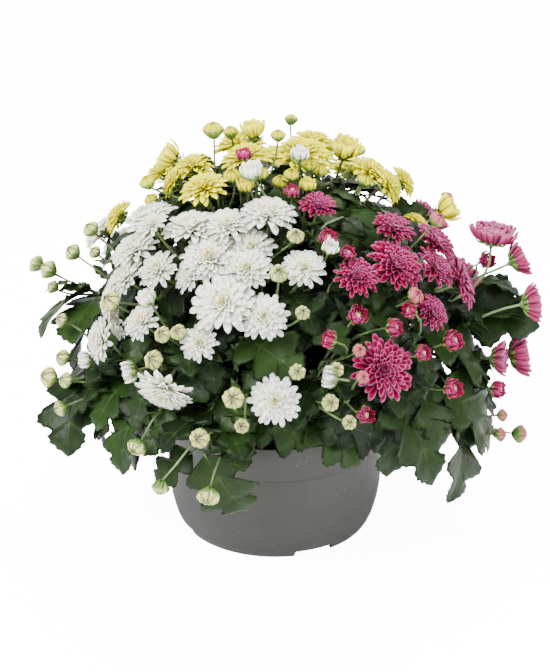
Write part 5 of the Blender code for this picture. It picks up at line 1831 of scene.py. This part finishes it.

# %% [markdown]
# ## Moulded plastic
#
# The pot is injection-moulded polypropylene. It is dull and faintly dusty, so its grey shows no clear
# reflection. Rain leaves faint rust-brown streaks on the band, and a thin painted shadow lies under the step.

# %% Dusty polypropylene
# Scales to the metre: dust clouds about 36 mm and specks about 8 mm apart, streaks about 7 mm apart and
# 70 mm long, and a grain of 1 mm
DUST_CLOUDS = 28.0
SPECKS = 130.0
STREAKS = (150.0, 150.0, 14.0)
GRAIN = 900.0
DUST_FADE = (0.35, 0.75)
SPECK_FADE = (0.05, 0.09)
STREAK_FADE = (0.60, 0.72)
BAND_HEIGHTS = (0.092, 0.111)
RUST_SHARE = 0.6
# Heights of a painted shadow under the step, where the band's ledge would shade the wall
STEP_SHADOW_HEIGHTS = (0.0785, 0.0800)
STEP_HEIGHT = 0.0815


def moulded_plastic():
    """Grey moulded polypropylene, with dust, pale specks, rust streaks and a painted line of shadow under the
    step.
    """
    material, tree, shader = new_material("dusty injection-moulded polypropylene", roughness=0.55)
    place = put(tree, "ShaderNodeTexCoord", out="Object")
    dust = put(tree, "ShaderNodeTexNoise", {"Vector": place, "Scale": DUST_CLOUDS, "Detail": 5.0})
    dusty = put(tree, "ShaderNodeMapRange", {0: dust, 1: DUST_FADE[0], 2: DUST_FADE[1]}, clamp=True)
    grey = put(tree, "ShaderNodeMix", {
        0: dusty, 6: linear("#1b1b18"), 7: linear("#232320")}, data_type="RGBA", out=2)
    spots = put(tree, "ShaderNodeTexVoronoi", {"Vector": place, "Scale": SPECKS}, out="Distance")
    speck = put(tree, "ShaderNodeMapRange", {
        0: spots, 1: SPECK_FADE[0], 2: SPECK_FADE[1], 3: 1.0, 4: 0.0}, clamp=True)
    thin = put(tree, "ShaderNodeMath", {0: speck, 1: dusty}, operation="MULTIPLY")
    specked = put(tree, "ShaderNodeMix", {0: thin, 6: grey, 7: linear("#6c6d66")}, data_type="RGBA", out=2)
    drawn_out = put(tree, "ShaderNodeMapping", {"Vector": place, "Scale": STREAKS})
    runs = put(tree, "ShaderNodeTexNoise", {"Vector": drawn_out, "Scale": 1.0, "Detail": 2.0})
    streak = put(tree, "ShaderNodeMapRange", {0: runs, 1: STREAK_FADE[0], 2: STREAK_FADE[1]}, clamp=True)
    height = put(tree, "ShaderNodeSeparateXYZ", {0: place}, out=2)
    band = put(tree, "ShaderNodeMapRange", {0: height, 1: BAND_HEIGHTS[0], 2: BAND_HEIGHTS[1]}, clamp=True)
    below = put(tree, "ShaderNodeMath", {0: height, 1: STEP_HEIGHT}, operation="LESS_THAN")
    rusty = put(tree, "ShaderNodeMath", {0: streak, 1: band}, operation="MULTIPLY")
    faint = put(tree, "ShaderNodeMath", {0: rusty, 1: RUST_SHARE}, operation="MULTIPLY")
    stained = put(tree, "ShaderNodeMix", {
        0: faint, 6: specked, 7: linear("#5c3018")}, data_type="RGBA", out=2)
    # Painted shadow: a thin near-black line just under the step, standing in for the ledge's shade
    low = put(tree, "ShaderNodeMapRange", {0: height, 1: STEP_SHADOW_HEIGHTS[0], 2: STEP_SHADOW_HEIGHTS[1]}, clamp=True)
    step_shadow = put(tree, "ShaderNodeMath", {0: low, 1: below}, operation="MULTIPLY")
    shadow_lined = put(tree, "ShaderNodeMix", {
        0: step_shadow, 6: stained, 7: linear("#0e0e0c")}, data_type="RGBA", out=2)
    grain = put(tree, "ShaderNodeTexNoise", {"Vector": place, "Scale": GRAIN, "Detail": 2.0})
    bump = put(tree, "ShaderNodeBump", {"Strength": 0.15, "Distance": 0.2 * MM, "Height": grain})
    tree.links.new(shadow_lined, shader.inputs["Base Color"])
    tree.links.new(bump, shader.inputs["Normal"])
    return material


pot_finish = moulded_plastic()
print("Pot finish:", pot_finish.name)

# %% [markdown]
# ## Pot
#
# The pot is turned from one profile: a plain band below the rim, a step, and a bowl that narrows to a
# notched foot. Its base plate has five drainage holes.

# %% The turned pot
POT_OUTSIDE = ((100.2, 112.0), (100.8, 111.7), (101.0, 111.0), (100.4, 82.6), (100.1, 82.0), (98.0, 81.8),
               (97.3, 80.6), (97.5, 79.0), (97.4, 60.0), (96.5, 38.0), (95.1, 26.5), (93.0, 17.0),
               (91.2, 10.5), (89.0, 5.0), (86.4, 0.6), (85.2, 0.0))
POT_INSIDE = ((80.0, 10.5), (92.0, 24.0), (96.3, 80.0), (98.6, 84.0), (99.0, 111.6), (99.5, 112.0))
FOOT_RING = 3.0
BASE_PLATE_UNDERSIDE = 7.5
NOTCH_SIZE = (35.0, 30.0, 6.5)
NOTCH_BEARINGS = (23.0, 113.0, 203.0, 293.0)
DRAIN_RADIUS = 5.0
DRAIN_CIRCLE = 52.0
DRAINS = 4
LATHE_STEPS = 120
DRAIN_CUT = 30.0

foot = POT_OUTSIDE[-1][0]
plate = ((foot - FOOT_RING, 0.0), (foot - FOOT_RING, BASE_PLATE_UNDERSIDE), (0.0, BASE_PLATE_UNDERSIDE))
pot_body = lathe("pot", ((0.0, POT_INSIDE[0][1]),) + POT_INSIDE + POT_OUTSIDE + plate, LATHE_STEPS)
across, deep, high = (size * MM for size in NOTCH_SIZE)
cutters = []
for bearing in NOTCH_BEARINGS:
    turn = Matrix.Rotation(math.radians(bearing), 4, "Z")
    cutters.append(block((across, deep, 2 * high), Matrix.Translation(ray(bearing, 90.0) * foot * MM) @ turn))
spots = [Vector()] + [ray(360.0 * index / DRAINS, 90.0) * DRAIN_CIRCLE * MM for index in range(DRAINS)]
cutters += [rod(DRAIN_RADIUS * MM, DRAIN_CUT * MM, spot) for spot in spots]
pot_mesh = without(pot_body, cutters)
pot_mesh.materials.clear()
pot_mesh.materials.append(pot_finish)
dress("turned_pot", pot_mesh, "pot_plastic", "pot")
print("Pot:", len(pot_mesh.polygons), "faces")

# %% [markdown]
# ## Compost
#
# Potting compost is dark, fibrous and crumbly. It is damp, but too rough to shine.

# %% Damp compost
COMPOST_CLOUDS = 220.0
COMPOST_TONES = (0.35, 0.7)


def compost():
    """Dark, damp compost: brown, with paler fibres about 5 mm apart."""
    material, tree, shader = new_material("damp potting compost", roughness=0.95)
    place = put(tree, "ShaderNodeTexCoord", out="Object")
    cloud = put(tree, "ShaderNodeTexNoise", {"Vector": place, "Scale": COMPOST_CLOUDS, "Detail": 4.0})
    tone = put(tree, "ShaderNodeMapRange", {0: cloud, 1: COMPOST_TONES[0], 2: COMPOST_TONES[1]}, clamp=True)
    brown = put(tree, "ShaderNodeMix", {
        0: tone, 6: linear("#140d08"), 7: linear("#36281a")}, data_type="RGBA", out=2)
    tree.links.new(brown, shader.inputs["Base Color"])
    bump = put(tree, "ShaderNodeBump", {"Strength": 0.6, "Distance": 1.0 * MM, "Height": cloud})
    tree.links.new(bump, shader.inputs["Normal"])
    return material


compost_finish = compost()
print("Soil finish:", compost_finish.name)

# %% [markdown]
# ## Crumbs
#
# A crumb is a rough ball. A tree strews the crumbs over every face of the soil that looks up, each turned
# and sized by a random draw.

# %% A tree that strews crumbs
LEVEL = 0.8
TURNS = (6.3, 6.3, 6.3)

crumb_shape = bmesh.new()
bmesh.ops.create_icosphere(crumb_shape, subdivisions=1, radius=1.0)
crumb_mesh = mesh_from("crumb", crumb_shape)

strewn, given, result = new_tree("crumbs strewn on soil", {
    "Crumb": "Object", "Density": "Float", "Smallest": "Float", "Largest": "Float", "Seed": "Int",
    "Finish": "Material"})
normal = put(strewn, "GeometryNodeInputNormal")
upward = put(strewn, "ShaderNodeSeparateXYZ", {0: normal}, out=2)
top = put(strewn, "ShaderNodeMath", {0: upward, 1: LEVEL}, operation="GREATER_THAN")
points = put(strewn, "GeometryNodeDistributePointsOnFaces", {
    "Mesh": given["Geometry"], "Selection": top, "Density": given["Density"],
    "Seed": given["Seed"]})
crumb = put(strewn, "GeometryNodeObjectInfo", {"Object": given["Crumb"]}, out="Geometry")
turn = put(strewn, "FunctionNodeRandomValue", {
    0: (0.0, 0.0, 0.0), 1: TURNS, "Seed": given["Seed"]}, data_type="FLOAT_VECTOR")
size = put(strewn, "FunctionNodeRandomValue", {
    2: given["Smallest"], 3: given["Largest"], "Seed": given["Seed"]}, data_type="FLOAT", out=1)
crumbs = put(strewn, "GeometryNodeInstanceOnPoints", {
    "Points": points, "Instance": crumb, "Rotation": turn, "Scale": size})
both = strewn.nodes.new("GeometryNodeJoinGeometry")
strewn.links.new(given["Geometry"], both.inputs[0])
strewn.links.new(crumbs, both.inputs[0])
end_tree(strewn, both.outputs[0], given["Finish"], result)
print("The tree for crumbs has", len(strewn.nodes), "nodes")

# %% [markdown]
# ## Soil
#
# The bed is the same turned shape as the solid, highest in the middle. Each point of its top is moved up
# or down a little, and the crumbs lie on it.

# %% The bed of soil
CRUMB_SIZES = (0.9 * MM, 2.6 * MM)
CRUMBS_PER_SQUARE_METRE = 26000.0
SOIL_RINGS = (20.0, 36.0, 52.0, 64.0, 74.0, 82.0, 88.0, 93.0)
SOIL_EDGE = 94.0
SOIL_RADIUS = 98.0
SOIL_GAP = 0.35
SOIL_STEPS = 72
CRUMB_ROOM = 1.0
UNEVEN_SOIL = (-1.2, 0.8)
TOP_FROM = 0.5

middle = SOIL_TOP - CRUMB_ROOM
wall = [(out - SOIL_GAP, up + SOIL_GAP) for out, up in reversed(POT_INSIDE) if up < SOIL_EDGE]
rings = [(out, middle - (SOIL_TOP - SOIL_EDGE) * (out / SOIL_RADIUS) ** 2) for out in SOIL_RINGS]
lip = [(SOIL_RADIUS, SOIL_EDGE - CRUMB_ROOM)]
underside = [(0.0, POT_INSIDE[0][1] + SOIL_GAP)]
bed = lathe("soil", [(0.0, middle)] + rings + lip + wall + underside, SOIL_STEPS)
draw = random.Random(SEED)
for vert in bed.vertices:
    if vert.co.z > (SOIL_EDGE - TOP_FROM) * MM:
        vert.co.z += draw.uniform(*UNEVEN_SOIL) * MM
soil_mesh = grow(strewn, bed, {
    "Crumb": bpy.data.objects.new("crumb", crumb_mesh), "Density": CRUMBS_PER_SQUARE_METRE,
    "Smallest": CRUMB_SIZES[0], "Largest": CRUMB_SIZES[1], "Seed": SEED, "Finish": compost_finish})
dress("crumbly_soil", soil_mesh, "potting_soil", "soil")
print("Soil:", len(soil_mesh.polygons), "faces")

# %% [markdown]
# ## Sizes and finish
#
# The size of the dressed plant is kept beside the size of its solids, to see that nothing grew too far.

# %% Sizes and finish
bpy.context.view_layer.update()
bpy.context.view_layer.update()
low, high = [[round(value, 4) for value in corner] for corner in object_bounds()]
print("The dressed plant reaches from", low, "to", high)
